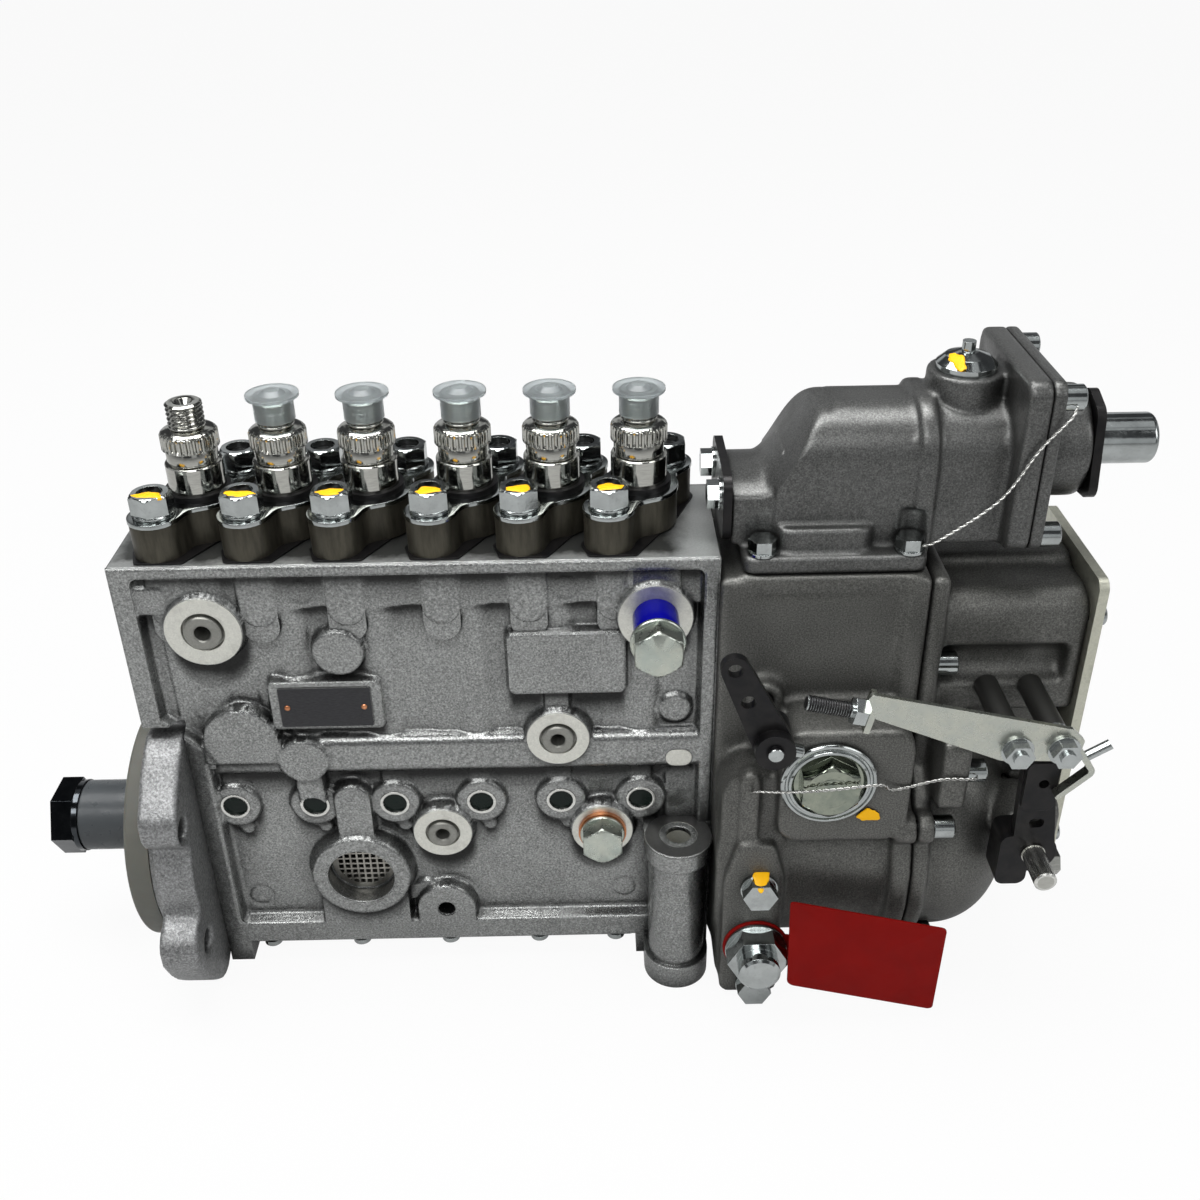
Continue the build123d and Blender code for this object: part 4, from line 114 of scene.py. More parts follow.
def piece(name, grids, slot, finish=None, sharp=30, closed=True, body="pump_body", replaced=()):
    """One object from several point grids in millimetres, each a (rows, columns, 3) array, a wrap
    flag and, if some faces are left out, the mask of those kept. Doubles are merged, closed shells
    get outward normals, and edges above the angle are sharp."""
    vertices = []
    faces = []
    count = 0
    for points, wrap, *kept in grids:
        rows, columns = points.shape[:2]
        vertices.append(points.reshape(-1, 3) * MM)
        quads = quads_of(rows, columns, wrap)
        faces.append((quads[kept[0]] if kept else quads) + count)
        count += rows * columns
    mesh = bpy.data.meshes.new(name)
    mesh.from_pydata(np.concatenate(vertices), [], np.concatenate(faces).tolist())
    work = bmesh.new()
    work.from_mesh(mesh)
    bmesh.ops.remove_doubles(work, verts=work.verts, dist=1e-6)
    bmesh.ops.dissolve_degenerate(work, edges=work.edges, dist=1e-7)
    loose = [point for point in work.verts if not point.link_faces]
    bmesh.ops.delete(work, geom=loose, context="VERTS")
    if closed:
        bmesh.ops.recalc_face_normals(work, faces=work.faces)
    work.to_mesh(mesh)
    work.free()
    mesh.shade_smooth()
    mesh.set_sharp_from_angle(angle=np.radians(sharp))
    return dressed(name, mesh, body, finish or slot, replaced)


def dressed(name, mesh, body, finish, replaced=()):
    """Puts a mesh into the scene as a named piece of a body and finish."""
    obj = bpy.data.objects.new(name, mesh)
    bpy.context.scene.collection.objects.link(obj)
    mesh.materials.clear()
    mesh.materials.append(FINISHES[finish])
    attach(obj, body)
    if replaced:
        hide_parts(*replaced)
    return obj


def turned(profile, steps=64, shape=None):
    """Surface of revolution about Z from (radius, height) pairs. shape, if given, works the radius
    out from itself, the angle and the height."""
    profile = np.asarray(profile, float)
    angle = np.linspace(0, 2 * np.pi, steps, endpoint=False)
    radius = np.repeat(profile[:, :1], steps, axis=1)
    height = np.repeat(profile[:, 1:], steps, axis=1)
    if shape is not None:
        radius = shape(radius, angle[None, :], height)
    return np.stack([radius * np.cos(angle), radius * np.sin(angle), height], axis=-1)


def lathe(profile, spot, direction=FRONT, steps=72, shape=None):
    """Closed grid of a surface of revolution that stands at the spot along the direction."""
    return placed(turned(profile, steps, shape), spot, direction), True


def rod(radius, length):
    """Profile of a plain closed cylinder."""
    return ((0.0, 0.0), (radius, 0.0), (radius, length), (0.0, length))


def hex_head(flats, height, base=0.0, bore=0.0, crown=0.0, steps=72, collar=0.0):
    """Hexagon prism with a 30 degree chamfer: each row's radius is the lesser of the hexagon's and
    the chamfer cone's. The top runs in to the bore and its floor, or to a low crown at the centre.
    A collar is a round washer face of that radius under the hexagon."""
    angle = np.linspace(0, 2 * np.pi, steps, endpoint=False)
    sixth = np.mod(angle + np.pi / 6, np.pi / 3) - np.pi / 6
    prism = flats / 2 / np.cos(sixth)
    rise_share = np.concatenate([[0.0, 0.3], np.linspace(0.66, 1.0, 9)])
    cone = 0.96 * flats / 2 + (1.0 - rise_share) * height * 1.73
    radius = np.minimum(prism[None, :], cone[:, None])
    level = base + rise_share * height
    inner = bore if bore > 0 else 0.0
    radius = np.vstack([radius, np.full(steps, inner + 0.4), np.full(steps, inner)])
    level = np.concatenate([level, [base + height + crown * 0.8, base + height + crown]])
    if bore > 0:
        floor = (np.full(steps, inner), np.full(steps, inner * 0.9), np.zeros(steps))
        radius = np.vstack([radius, *floor])
        level = np.concatenate([level, base + height * np.array((0.6, 0.62, 0.62))])
    if collar > 0:
        foot = np.array((0.0, collar - 0.3, collar, collar, collar - 0.4))[:, None]
        radius = np.vstack([np.repeat(foot, steps, axis=1), radius])
        level = np.concatenate([base + np.array((-1.7, -1.7, -1.4, -0.35, 0.0)), level])
    height_grid = np.repeat(level[:, None], steps, axis=1)
    return np.stack([radius * np.cos(angle), radius * np.sin(angle), height_grid], axis=-1)


def smooth_path(points, per_run):
    """Catmull-Rom curve through the points: each run is a cubic that leaves and arrives along the
    chord of its neighbours."""
    points = np.asarray(points, float)
    padded = np.vstack([2 * points[0] - points[1], points, 2 * points[-1] - points[-2]])
    t = np.linspace(0, 1, per_run, endpoint=False)[:, None]
    runs = []
    for before, start, end, after in zip(padded[:-3], padded[1:-2], padded[2:-1], padded[3:]):
        linear = (end - before) * t
        square = (2 * before - 5 * start + 4 * end - after) * t**2
        cubic = (3 * start - before - 3 * end + after) * t**3
        runs.append(0.5 * (2 * start + linear + square + cubic))
    return np.vstack(runs + [points[-1:]])


def frames_along(path):
    """Tangent, normal and binormal at each point of a path; the normal is carried without twist."""
    tangent = np.gradient(path, axis=0)
    tangent /= np.linalg.norm(tangent, axis=1)[:, None]
    normal = np.empty_like(tangent)
    seed = np.cross(tangent[0], (0.3, 0.2, 1.0))
    normal[0] = seed / np.linalg.norm(seed)
    for step in range(1, len(path)):
        carried = normal[step - 1] - np.dot(normal[step - 1], tangent[step]) * tangent[step]
        normal[step] = carried / np.linalg.norm(carried)
    return tangent, normal, np.cross(tangent, normal)


def tube(path, radius, sides):
    """Round tube along a path, closed at both ends by a point on the path."""
    _, normal, binormal = frames_along(path)
    angle = np.linspace(0, 2 * np.pi, sides, endpoint=False)[:, None]
    ring = normal[:, None, :] * np.cos(angle) + binormal[:, None, :] * np.sin(angle)
    first = np.repeat(path[:1, None, :], sides, axis=1)
    last = np.repeat(path[-1:, None, :], sides, axis=1)
    return np.concatenate([first, path[:, None, :] + radius * ring, last])


def rounded_outline(width, height, radius, per_corner=6):
    """Points of a rectangle with round corners, centred on the origin, as (n, 2)."""
    quarter = np.linspace(0, np.pi / 2, per_corner)
    parts = []
    for number, (sx, sy) in enumerate(((1, 1), (-1, 1), (-1, -1), (1, -1))):
        angle = quarter + number * np.pi / 2
        centre = np.array((sx * (width / 2 - radius), sy * (height / 2 - radius)))
        parts.append(centre + radius * np.stack([np.cos(angle), np.sin(angle)], axis=1))
    return np.vstack(parts)


def slab(outline, thickness, edge=0.3, rings=2):
    """Flat plate from an outline: a wall, a rounded edge and a top that runs in to the middle in
    the given number of rings."""
    middle = outline.mean(axis=0)
    reach = np.linalg.norm(outline - middle, axis=1)[:, None]
    bend = edge * 0.3
    wall = ((2 * edge, 0.0), (0.0, 0.0), (0.0, thickness - edge), (bend, thickness - bend))
    rows = []
    for inset, level in wall:
        scaled = middle + (outline - middle) * (1 - inset / reach)
        rows.append(np.column_stack([scaled, np.full(len(outline), level)]))
    for share in np.linspace(0.97, 0.0, rings + 1):
        scaled = middle + (outline - middle) * share * (1 - edge / reach)
        rows.append(np.column_stack([scaled, np.full(len(outline), thickness)]))
    return np.stack(rows)


# ------------------------------------------------------------------ finishes
def add_node(tree, kind, inputs=(), **settings):
    """A shader node with its settings; an input that is a socket is linked, any other is set."""
    made = tree.nodes.new(kind)
    for key, value in settings.items():
        setattr(made, key, value)
    for key, value in inputs:
        if isinstance(value, bpy.types.NodeSocket):
            tree.links.new(value, made.inputs[key])
        else:
            made.inputs[key].default_value = value
    return made


def add_mix(tree, share, first, second):
    """Colour that goes from the first to the second with the share; each is a socket or triple."""
    pair = [v if isinstance(v, bpy.types.NodeSocket) else (*v, 1.0) for v in (first, second)]
    wanted = ((0, share), (6, pair[0]), (7, pair[1]))
    return add_node(tree, "ShaderNodeMix", wanted, data_type="RGBA").outputs[2]


class Finish:
    """A Principled shader with its helpers. Patterns are read from the object's own coordinates."""

    def __init__(self, name, scale=(1.0, 1.0, 1.0)):
        self.material = bpy.data.materials.new(name)
        self.material.use_nodes = True
        self.tree = self.material.node_tree
        self.shader = self.tree.nodes["Principled BSDF"]
        place = self.node("ShaderNodeTexCoord").outputs["Object"]
        mapping = self.node("ShaderNodeMapping", (("Vector", place), ("Scale", scale)))
        self.place = mapping.outputs["Vector"]

    def set(self, **values):
        for key, value in values.items():
            self.shader.inputs[key.replace("_", " ")].default_value = value
        return self

    def node(self, kind, inputs=(), **settings):
        return add_node(self.tree, kind, inputs, **settings)

    def mix(self, share, first, second):
        return add_mix(self.tree, share, first, second)

    def maths(self, kind, first, second=0.0):
        return self.node("ShaderNodeMath", ((0, first), (1, second)), operation=kind).outputs[0]

    def noise(self, scale, detail=3.0, roughness=0.55, distortion=0.0):
        """Cloudy value from 0 to 1; scale is in lumps per metre."""
        wanted = (("Vector", self.place), ("Scale", scale), ("Detail", detail))
        wanted += (("Roughness", roughness), ("Distortion", distortion))
        return self.node("ShaderNodeTexNoise", wanted).outputs["Fac"]

    def spots(self, scale, low, high):
        """Isolated round specks: a cell distance turned so that specks are 1 and the rest is 0."""
        wanted = (("Vector", self.place), ("Scale", scale), ("Randomness", 1.0))
        cells = self.node("ShaderNodeTexVoronoi", wanted)
        return self.spread(cells.outputs["Distance"], low, high, 1.0, 0.0)

    def spread(self, value, low=0.3, high=0.7, to_low=0.0, to_high=1.0):
        """The value stretched from one range to another and held inside it."""
        wanted = (("Value", value), ("From Min", low), ("From Max", high))
        wanted += (("To Min", to_low), ("To Max", to_high))
        return self.node("ShaderNodeMapRange", wanted).outputs["Result"]

    def over(self, base, share, strength, colour):
        """The base with a colour laid over it by a share and a strength."""
        return self.mix(self.maths("MULTIPLY", share, strength), base, colour)

    def to(self, socket, value):
        self.tree.links.new(value, self.shader.inputs[socket])
        return self

    def relief(self, height, depth, edge=0.0):
        """Bump of a depth in metres over the height value; edge rounds the shaded corners."""
        wanted = [("Height", height), ("Distance", depth), ("Strength", 1.0)]
        if edge > 0:
            corner = self.node("ShaderNodeBevel", (("Radius", edge),), samples=4)
            wanted.append(("Normal", corner.outputs["Normal"]))
        self.to("Normal", self.node("ShaderNodeBump", wanted).outputs["Normal"])
        return self.material

    def crevice(self, reach, dark):
        """Ambient occlusion mask for painted shade: 1 on open faces, falling to the dark value in
        corners and under overhangs.
        """
        shaded = self.node("ShaderNodeAmbientOcclusion", (("Distance", reach),), samples=5)
        return self.spread(shaded.outputs["AO"], 0.4, 0.94, dark, 1.0)

    def edges(self, radius, low, high):
        """1 along corners and 0 on flats: how far the rounded normal leans from the flat one."""
        corner = self.node("ShaderNodeBevel", (("Radius", radius),), samples=4)
        flat = self.node("ShaderNodeNewGeometry")
        wanted = ((0, corner.outputs["Normal"]), (1, flat.outputs["Normal"]))
        lean = self.node("ShaderNodeVectorMath", wanted, operation="DOT_PRODUCT")
        return self.spread(lean.outputs["Value"], 1.0 - low, 1.0 - high)


def shade(colour, factor):
    """The colour brightened or darkened by a factor, kept inside 0 to 1."""
    return tuple(min(1.0, part * factor) for part in colour[:3])


def casting(name, colour, grain, depth, edge, rough, metal=0.7, stain=0.35, painted_shade_floor=0.3):
    """Blasted cast aluminium: two sizes of grain, cloudy tone, dark flecks, painted shade in
    corners and under overhangs, and a painted highlight along corners."""
    made = Finish(name).set(Metallic=metal)
    sand = made.noise(grain, 3.0, 0.7)
    cloud = made.spread(made.noise(34.0, 4.0, 0.6))
    base = made.mix(cloud, shade(colour, 0.86), shade(colour, 1.1))
    base = made.over(base, made.spread(sand, 0.5, 0.66), 0.8, shade(colour, 1.8))
    base = made.over(base, made.spread(sand, 0.48, 0.34), 0.7, shade(colour, 0.35))
    patches = made.spread(made.noise(70.0, 2.0), 0.56, 0.66)
    flecks = made.maths("MULTIPLY", made.spots(260.0, 0.05, 0.13), patches)
    base = made.over(base, flecks, stain, shade(colour, 0.3))
    # Painted highlight: corners are brightened in the colour.
    base = made.over(base, made.edges(edge * 1.2, 0.02, 0.4), 0.7, shade(colour, 2.5))
    # Painted shade: darker in corners and under overhangs by ambient occlusion, and painted shadow
    # under raised forms of the walls from their stored attribute.
    shade_paint_share = made.maths("SUBTRACT", 1.0, made.crevice(0.011, painted_shade_floor))
    lee = made.node("ShaderNodeAttribute", attribute_name="painted_shadow").outputs["Fac"]
    shade_paint_share = made.maths("MAXIMUM", shade_paint_share, made.maths("MULTIPLY", lee, 0.96))
    made.to("Base Color", made.mix(shade_paint_share, base, shade(colour, 0.04)))
    made.to("Roughness", made.spread(made.noise(90.0), 0.3, 0.7, *rough))
    coarse = made.noise(grain * 0.4, 2.0, 0.6)
    return made.relief(made.maths("ADD", sand, coarse), depth, edge)


def plated(name, colour, tint, rough, scratch=0.35, metal=1.0):
    """Bright plating: cloudy tint, fine scratches, small handling marks and softened corners."""
    made = Finish(name).set(Metallic=metal)
    base = made.mix(made.spread(made.noise(120.0, 3.0, 0.6, 0.4), 0.35, 0.65), colour[:3], tint[:3])
    dust = made.spread(made.noise(700.0, 2.0), 0.58, 0.72)
    made.to("Base Color", made.over(base, dust, scratch, shade(colour, 0.6)))
    made.to("Roughness", made.spread(made.noise(300.0, 4.0, 0.65), 0.3, 0.75, *rough))
    return made.relief(made.noise(500.0, 3.0, 0.6), 0.00002, 0.00022)


def plated_shaded_behind(name, colour):
    """Bright plate in front of the bracket and painted shade behind it, near black, split by depth.
    """
    made = Finish(name).set(Metallic=0.9)
    depth = made.node("ShaderNodeSeparateXYZ", (("Vector", made.place),)).outputs["Y"]
    behind = made.spread(depth, -0.0672, -0.0668)
    tone = made.mix(made.noise(300.0), shade(colour, 0.8), shade(colour, 1.1))
    made.to("Base Color", made.mix(behind, tone, (0.05, 0.05, 0.047)))
    made.to("Roughness", made.spread(behind, 0.0, 1.0, 0.16, 0.45))
    return made.relief(made.noise(500.0, 3.0, 0.6), 0.00002, 0.00022)


def turned_steel(name, colour, rough, lines=2600.0):
    """Lathe-turned steel: fine rings along the object's height and a cloudy tone."""
    made = Finish(name, (0.12, 0.12, 1.0)).set(Metallic=1.0)
    rings = made.noise(lines, 2.0, 0.6)
    made.to("Base Color", made.mix(made.spread(rings), shade(colour, 0.86), shade(colour, 1.12)))
    made.to("Roughness", made.spread(rings, 0.25, 0.75, *rough))
    return made.relief(rings, 0.000012, 0.0002)


def plastic(name, colour, rough, through=0.0, milk=0.0, grain=400.0, depth=0.00004, gloss=0.2):
    """Moulded plastic: faint flow marks, a slight tone drift and, if wanted, light through it."""
    made = Finish(name).set(Metallic=0.0, IOR=1.46, Specular_IOR_Level=gloss)
    made.set(Transmission_Weight=through, Subsurface_Weight=milk)
    if milk > 0:
        made.set(Subsurface_Scale=0.004)
    flow = made.spread(made.noise(60.0, 3.0, 0.5, 0.8))
    made.to("Base Color", made.mix(flow, shade(colour, 0.9), shade(colour, 1.06)))
    made.to("Roughness", made.spread(made.noise(200.0, 2.0), 0.3, 0.7, *rough))
    return made.relief(made.noise(grain, 2.0), depth, 0.0003)


def phosphated(name, colour, rough):
    """Phosphate coat: brown-grey with upright rub streaks, fine crystals and pale worn corners."""
    made = Finish(name, (1.0, 1.0, 0.18)).set(Metallic=0.75)
    streak = made.noise(420.0, 4.0, 0.65)
    base = made.mix(made.spread(streak), shade(colour, 0.72), shade(colour, 1.3))
    made.to("Base Color", made.over(base, made.edges(0.0005, 0.02, 0.3), 0.45, shade(colour, 3.2)))
    made.to("Roughness", made.spread(streak, 0.3, 0.7, *rough))
    return made.relief(made.noise(1800.0, 2.0), 0.00002, 0.0003)


def machined_face(name, colour):
    """Faced aluminium: pale, with short cutter marks and a few dull stains."""
    made = Finish(name).set(Metallic=0.85)
    marks = made.noise(700.0, 4.0, 0.7, 1.5)
    base = made.mix(made.spread(marks), shade(colour, 0.85), shade(colour, 1.15))
    stain = made.spread(made.noise(160.0), 0.55, 0.75)
    made.to("Base Color", made.over(base, stain, 0.5, shade(colour, 0.6)))
    made.to("Roughness", made.spread(marks, 0.3, 0.7, 0.3, 0.46))
    return made.relief(marks, 0.00002, 0.0003)


def etched_plate(name):
    """Dark etched plate with a faint brushed grain and pale worn corners."""
    made = Finish(name, (1.0, 1.0, 6.0)).set(Metallic=0.4)
    brushed = made.noise(500.0, 3.0, 0.6)
    base = made.mix(made.spread(brushed), (0.012, 0.012, 0.014), (0.03, 0.03, 0.033))
    made.to("Base Color", made.mix(made.edges(0.0004, 0.05, 0.4), base, (0.4, 0.4, 0.38)))
    made.to("Roughness", made.spread(brushed, 0.3, 0.7, 0.3, 0.5))
    return made.relief(brushed, 0.00001)


def milled_deck(name, colour):
    """Milled deck: pale with fine cutter lines, and a dark oily film with a ragged rim where the
    bushings stand. The film's middle is halfway along the deck."""
    made = Finish(name).set(Metallic=0.85)
    marks = made.noise(1300.0, 3.0, 0.6)
    clean = made.mix(made.spread(marks), shade(colour, 1.55), shade(colour, 2.0))
    parts = made.node("ShaderNodeSeparateXYZ", (("Vector", made.place),)).outputs
    ragged = made.maths("MULTIPLY", made.noise(75.0, 4.0, 0.6), 0.016)
    across = made.maths("ADD", made.maths("ABSOLUTE", parts["Y"]), ragged)
    along = made.maths("ABSOLUTE", made.maths("SUBTRACT", parts["X"], 0.113))
    inside = made.spread(across, 0.0335, 0.0385, 1.0, 0.0)
    between = made.spread(made.maths("ADD", along, ragged), 0.115, 0.124, 1.0, 0.0)
    film = made.maths("MULTIPLY", inside, between)
    dark = made.mix(made.noise(160.0), (0.02, 0.021, 0.019), (0.05, 0.052, 0.048))
    made.to("Base Color", made.over(clean, film, 0.9, dark))
    made.to("Roughness", made.spread(marks, 0.3, 0.7, 0.3, 0.42))
    return made.relief(marks, 0.00002, 0.0004)


def cast_finishes(look):
    """Housing, governor, compensator and drive flange."""
    fine = 1500.0
    return {
        # The housing takes the deepest painted shade in its corners.
        "housing_cast": casting(
            "sand cast housing", look.housing, grain=1150.0, depth=0.00007, edge=0.0011,
            rough=(0.2, 0.32), metal=0.85, stain=0.5, painted_shade_floor=0.1,
        ),
        "governor_cast": casting(
            "die cast governor", look.governor, fine, depth=0.00006, edge=0.0014, rough=(0.38, 0.5)
        ),
        "compensator_cast": casting(
            "die cast compensator", look.compensator, fine, depth=0.00004, edge=0.0014,
            rough=(0.3, 0.42),
        ),
        "flange_cast": casting(
            "blasted flange", look.flange, grain=1000.0, depth=0.00015, edge=0.0012,
            rough=(0.32, 0.48), stain=0.3,
        ),
        "machined_face": machined_face("faced aluminium", (0.6, 0.6, 0.55)),
        "dull_face": machined_face("dull faced aluminium", (0.1, 0.1, 0.098)),
        "seat_face": machined_face("plug face", (0.24, 0.24, 0.22)),
        "cream_plate": machined_face("cream plate", (0.5, 0.5, 0.42)),
        "deck": milled_deck("milled deck", look.housing),
        "name_plate": etched_plate("etched plate"),
    }


def steel_finishes(look):
    """Plated, turned, phosphated and blackened steel, copper and brass."""
    bright, satin, dull = (0.08, 0.16), (0.24, 0.36), (0.26, 0.4)
    made = {
        "zinc_plate": plated("bright zinc", look.zinc, shade(look.zinc, 0.8), (0.07, 0.18)),
        # Fasteners are bright in front of the bracket and carry painted shade behind it.
        "back_rods": plated_shaded_behind("plated with painted shade behind", look.zinc),
        "phosphated_steel": phosphated("phosphated steel", look.phosphate, (0.3, 0.5)),
        "polished_steel": turned_steel("polished steel", (0.4, 0.4, 0.37), (0.06, 0.15)),
        "machined_steel": turned_steel("machined steel", (0.42, 0.42, 0.41), (0.22, 0.36), 1700.0),
        "tip_steel": turned_steel("bright tip", (0.6, 0.6, 0.57), (0.16, 0.3), 1200.0),
    }
    for key, name, colour, tint, rough, scratch, metal in (
        ("pale_zinc", "pale zinc", (0.43, 0.45, 0.41), (0.48, 0.49, 0.43), (0.24, 0.34), 0.2, 1.0),
        ("green_zinc", "passivated zinc", (0.4, 0.44, 0.4), (0.48, 0.5, 0.44), satin, 0.25, 1.0),
        ("sight_zinc", "oiled zinc", (0.2, 0.225, 0.19), (0.3, 0.32, 0.26), bright, 0.35, 1.0),
        (
            "dark_zinc", "dark bright zinc", (0.03, 0.034, 0.038), (0.06, 0.065, 0.07),
            (0.08, 0.15), 0.35, 1.0,
        ),
        (
            "black_oxide", "black oxide", (0.006, 0.006, 0.007), (0.014, 0.013, 0.013),
            (0.3, 0.42), 0.2, 0.6,
        ),
        (
            "spring_steel", "spring steel", (0.12, 0.11, 0.1), (0.2, 0.19, 0.17),
            (0.3, 0.45), 0.35, 1.0,
        ),
        (
            "spring_bright", "bright wire", (0.5, 0.5, 0.48), (0.4, 0.4, 0.38),
            (0.2, 0.34), 0.35, 1.0,
        ),
        ("copper", "copper", (0.6, 0.27, 0.14), (0.42, 0.17, 0.08), dull, 0.35, 1.0),
        ("yellow_brass", "brass", (0.42, 0.35, 0.16), (0.3, 0.25, 0.12), dull, 0.35, 1.0),
        ("screen_wire", "woven steel wire", (0.34, 0.33, 0.3), (0.22, 0.21, 0.19), dull, 0.35, 1.0),
    ):
        made[key] = plated(name, colour, tint, rough, scratch, metal)
    return made


def plastic_finishes(look):
    """Covers, caps, sleeves, tag and paint."""
    return {
        "white_plastic": plastic("milky cover", (0.115, 0.115, 0.1), (0.4, 0.55), 0.1, 0.1),
        # The shaft sleeve is grey translucent plastic, darkened further as painted shade.
        "smoky_sleeve": plastic("sleeve with painted shade", (0.06, 0.066, 0.07), (0.25, 0.38), 0.1),
        "clear_plastic": plastic("frosted cap", (0.66, 0.71, 0.72), (0.28, 0.38), 0.93),
        "blue_sleeve": plastic("blue sleeve", look.sleeve, (0.1, 0.16), gloss=0.05),
        # Bore of the guide bushes: dark green plastic, darkened to near black as painted shade in
        # the hole.
        "green_bush": plastic("green bore with painted shade", (0.002, 0.007, 0.005), (0.2, 0.3)),
        "red_plastic": plastic(
            "red tag", look.tag, (0.4, 0.55), milk=0.05, grain=900.0, depth=0.00003, gloss=0.08
        ),
        "paint": plastic("marking paint", look.paint, (0.3, 0.45), grain=1600.0, depth=0.00012),
    }


# ------------------------------------------------------------------ cast walls
# Reach of both walls, the corner that the flange step takes out of them and the height of the sand.
WALL_X = (-0.25, 240.45)
WALL_Z = (-50.0, 150.2)
FLANGE_STEP = (16.4, 73.9)
SAND_HEIGHT = 0.02


def soft_min(first, second, blend):
    """The lesser of two heights, rounded where they differ by less than the blend."""
    share = np.clip(0.5 + 0.5 * (second - first) / blend, 0, 1)
    return second * (1 - share) + first * share - blend * share * (1 - share)


def soft_max(first, second, blend):
    """The greater of two heights, rounded where they differ by less than the blend."""
    return -soft_min(-first, -second, blend)


def disc(x, z, centre_x, centre_z, radius):
    """Distance outside a circle."""
    return np.hypot(x - centre_x, z - centre_z) - radius


def block(x, z, centre_x, centre_z, width, height, corner=2.0):
    """Distance outside a rectangle with round corners."""
    across = np.abs(x - centre_x) - width / 2 + corner
    upright = np.abs(z - centre_z) - height / 2 + corner
    outside = np.hypot(np.maximum(across, 0), np.maximum(upright, 0))
    return outside + np.minimum(np.maximum(across, upright), 0) - corner


def stick(x, z, start, end, radius):
    """Distance outside a capsule between two points."""
    (ax, az), (bx, bz) = start, end
    share = ((x - ax) * (bx - ax) + (z - az) * (bz - az)) / ((bx - ax) ** 2 + (bz - az) ** 2)
    share = np.clip(share, 0, 1)
    return np.hypot(x - ax - share * (bx - ax), z - az - share * (bz - az)) - radius


def rise(distance, height, foot=3.0, brim=0.8):
    """Cast boss: full height inside; outside it falls with the 2.6th power of what is left of the
    foot, which makes a fillet, and the brim is rounded by a soft minimum."""
    fall = np.clip(1 - distance / foot, 0, 4) ** 2.6
    return soft_min(np.full_like(distance, height), height * fall, brim)


def waisted_outline(middle, ear, blend=9.0, steps=200):
    """Points of a clamp's edge about its barrel: along each ray the farthest place where the
    rounded least of the distances to the middle disc and the two ear discs is below zero."""
    angle = np.linspace(0, 2 * np.pi, steps, endpoint=False)
    reach = np.linspace(10.0, 38.0, 2400)[:, None]
    x, y = reach * np.cos(angle), reach * np.sin(angle)
    field = disc(x, y, 0.0, 0.0, middle)
    for side in (-1, 1):
        field = soft_min(field, disc(x, y, side * EAR[0], side * EAR[1], ear), blend)
    last = len(reach) - 1 - np.argmax(field[::-1] < 0, axis=0)
    return reach[last] * np.stack([np.cos(angle), np.sin(angle)], axis=1)


def recess_rim(x, z):
    """Distance from the rim of the sunken wall, less than zero on the rim itself. The left side
    steps in below the flange overhang along a slanted line."""
    left, inner_left, right, foot, top = 8.0, 24.2, 234.5, -39.4, 145.3
    slant = ((x - left) * -15.0 + (z - 77.0) * -15.5) / 21.57
    level = np.maximum(left - x, np.minimum(inner_left - x, slant))
    for side in (z - top, foot - z, x - right):
        level = soft_max(level, side, 3.0)
    return -level


def shared_wall(x, z, side):
    """Height of what both walls have: bulges round the barrels, stud ribs, the stepped band, the
    fuel gallery and the rim."""
    height = np.full_like(x, 0.15)
    bulge_radius, bulge_sunk, bulge_foot = 15.2, 11.9, 57.0
    ribs = [barrel - side * RIB_OFFSET for barrel in BARREL_X]
    for barrel, rib in zip(BARREL_X, ribs):
        arc = np.sqrt(np.clip(bulge_radius**2 - (x - barrel) ** 2, 0, None)) - bulge_sunk
        arc = soft_min(arc, np.clip((z - bulge_foot) * 0.9, -3, None), 1.5)
        height = soft_max(height, arc, 1.3)
        low_rib = stick(x, z, (rib, 66.0), (rib, 118.0), 6.2)
        height = soft_max(height, rise(low_rib, 1.5, 2.5, 0.7), 1.2)
    band_foot, band_wave, band_pitch = 128.6, 0.9, 35.0
    band = band_foot - z + band_wave * np.cos((x - 12.0) * 2 * np.pi / band_pitch)
    height = soft_max(height, rise(band, 3.5, 2.2, 0.7), 0.8)
    for rib in ribs:
        high_rib = stick(x, z, (rib, 128.5), (rib, 160.0), 7.5)
        height = soft_max(height, rise(high_rib, 4.75, 2.4, 0.7), 0.9)
    # The gallery is a half tube whose top and foot are apart, with a flat run between them.
    gallery_top, gallery_foot, radius, stand = 60.5, 51.6, 5.75, 0.55
    drop = np.where(z > gallery_top, z - gallery_top, np.maximum(gallery_foot - z, 0.0))
    gallery = np.sqrt(np.clip(radius**2 - drop**2, 0, None)) + stand
    gallery = gallery + 0.25 * np.clip((gallery_top - z) / 9, 0, 1)
    gallery = np.where(drop < radius, gallery, stand - (drop - radius) * 1.4)
    gallery = soft_min(gallery, (x - 22.0) * 1.2, 1.5)
    height = soft_max(height, gallery, 1.8)
    return soft_max(height, rise(recess_rim(x, z), 6.64, 4.6, 0.7), 1.1)


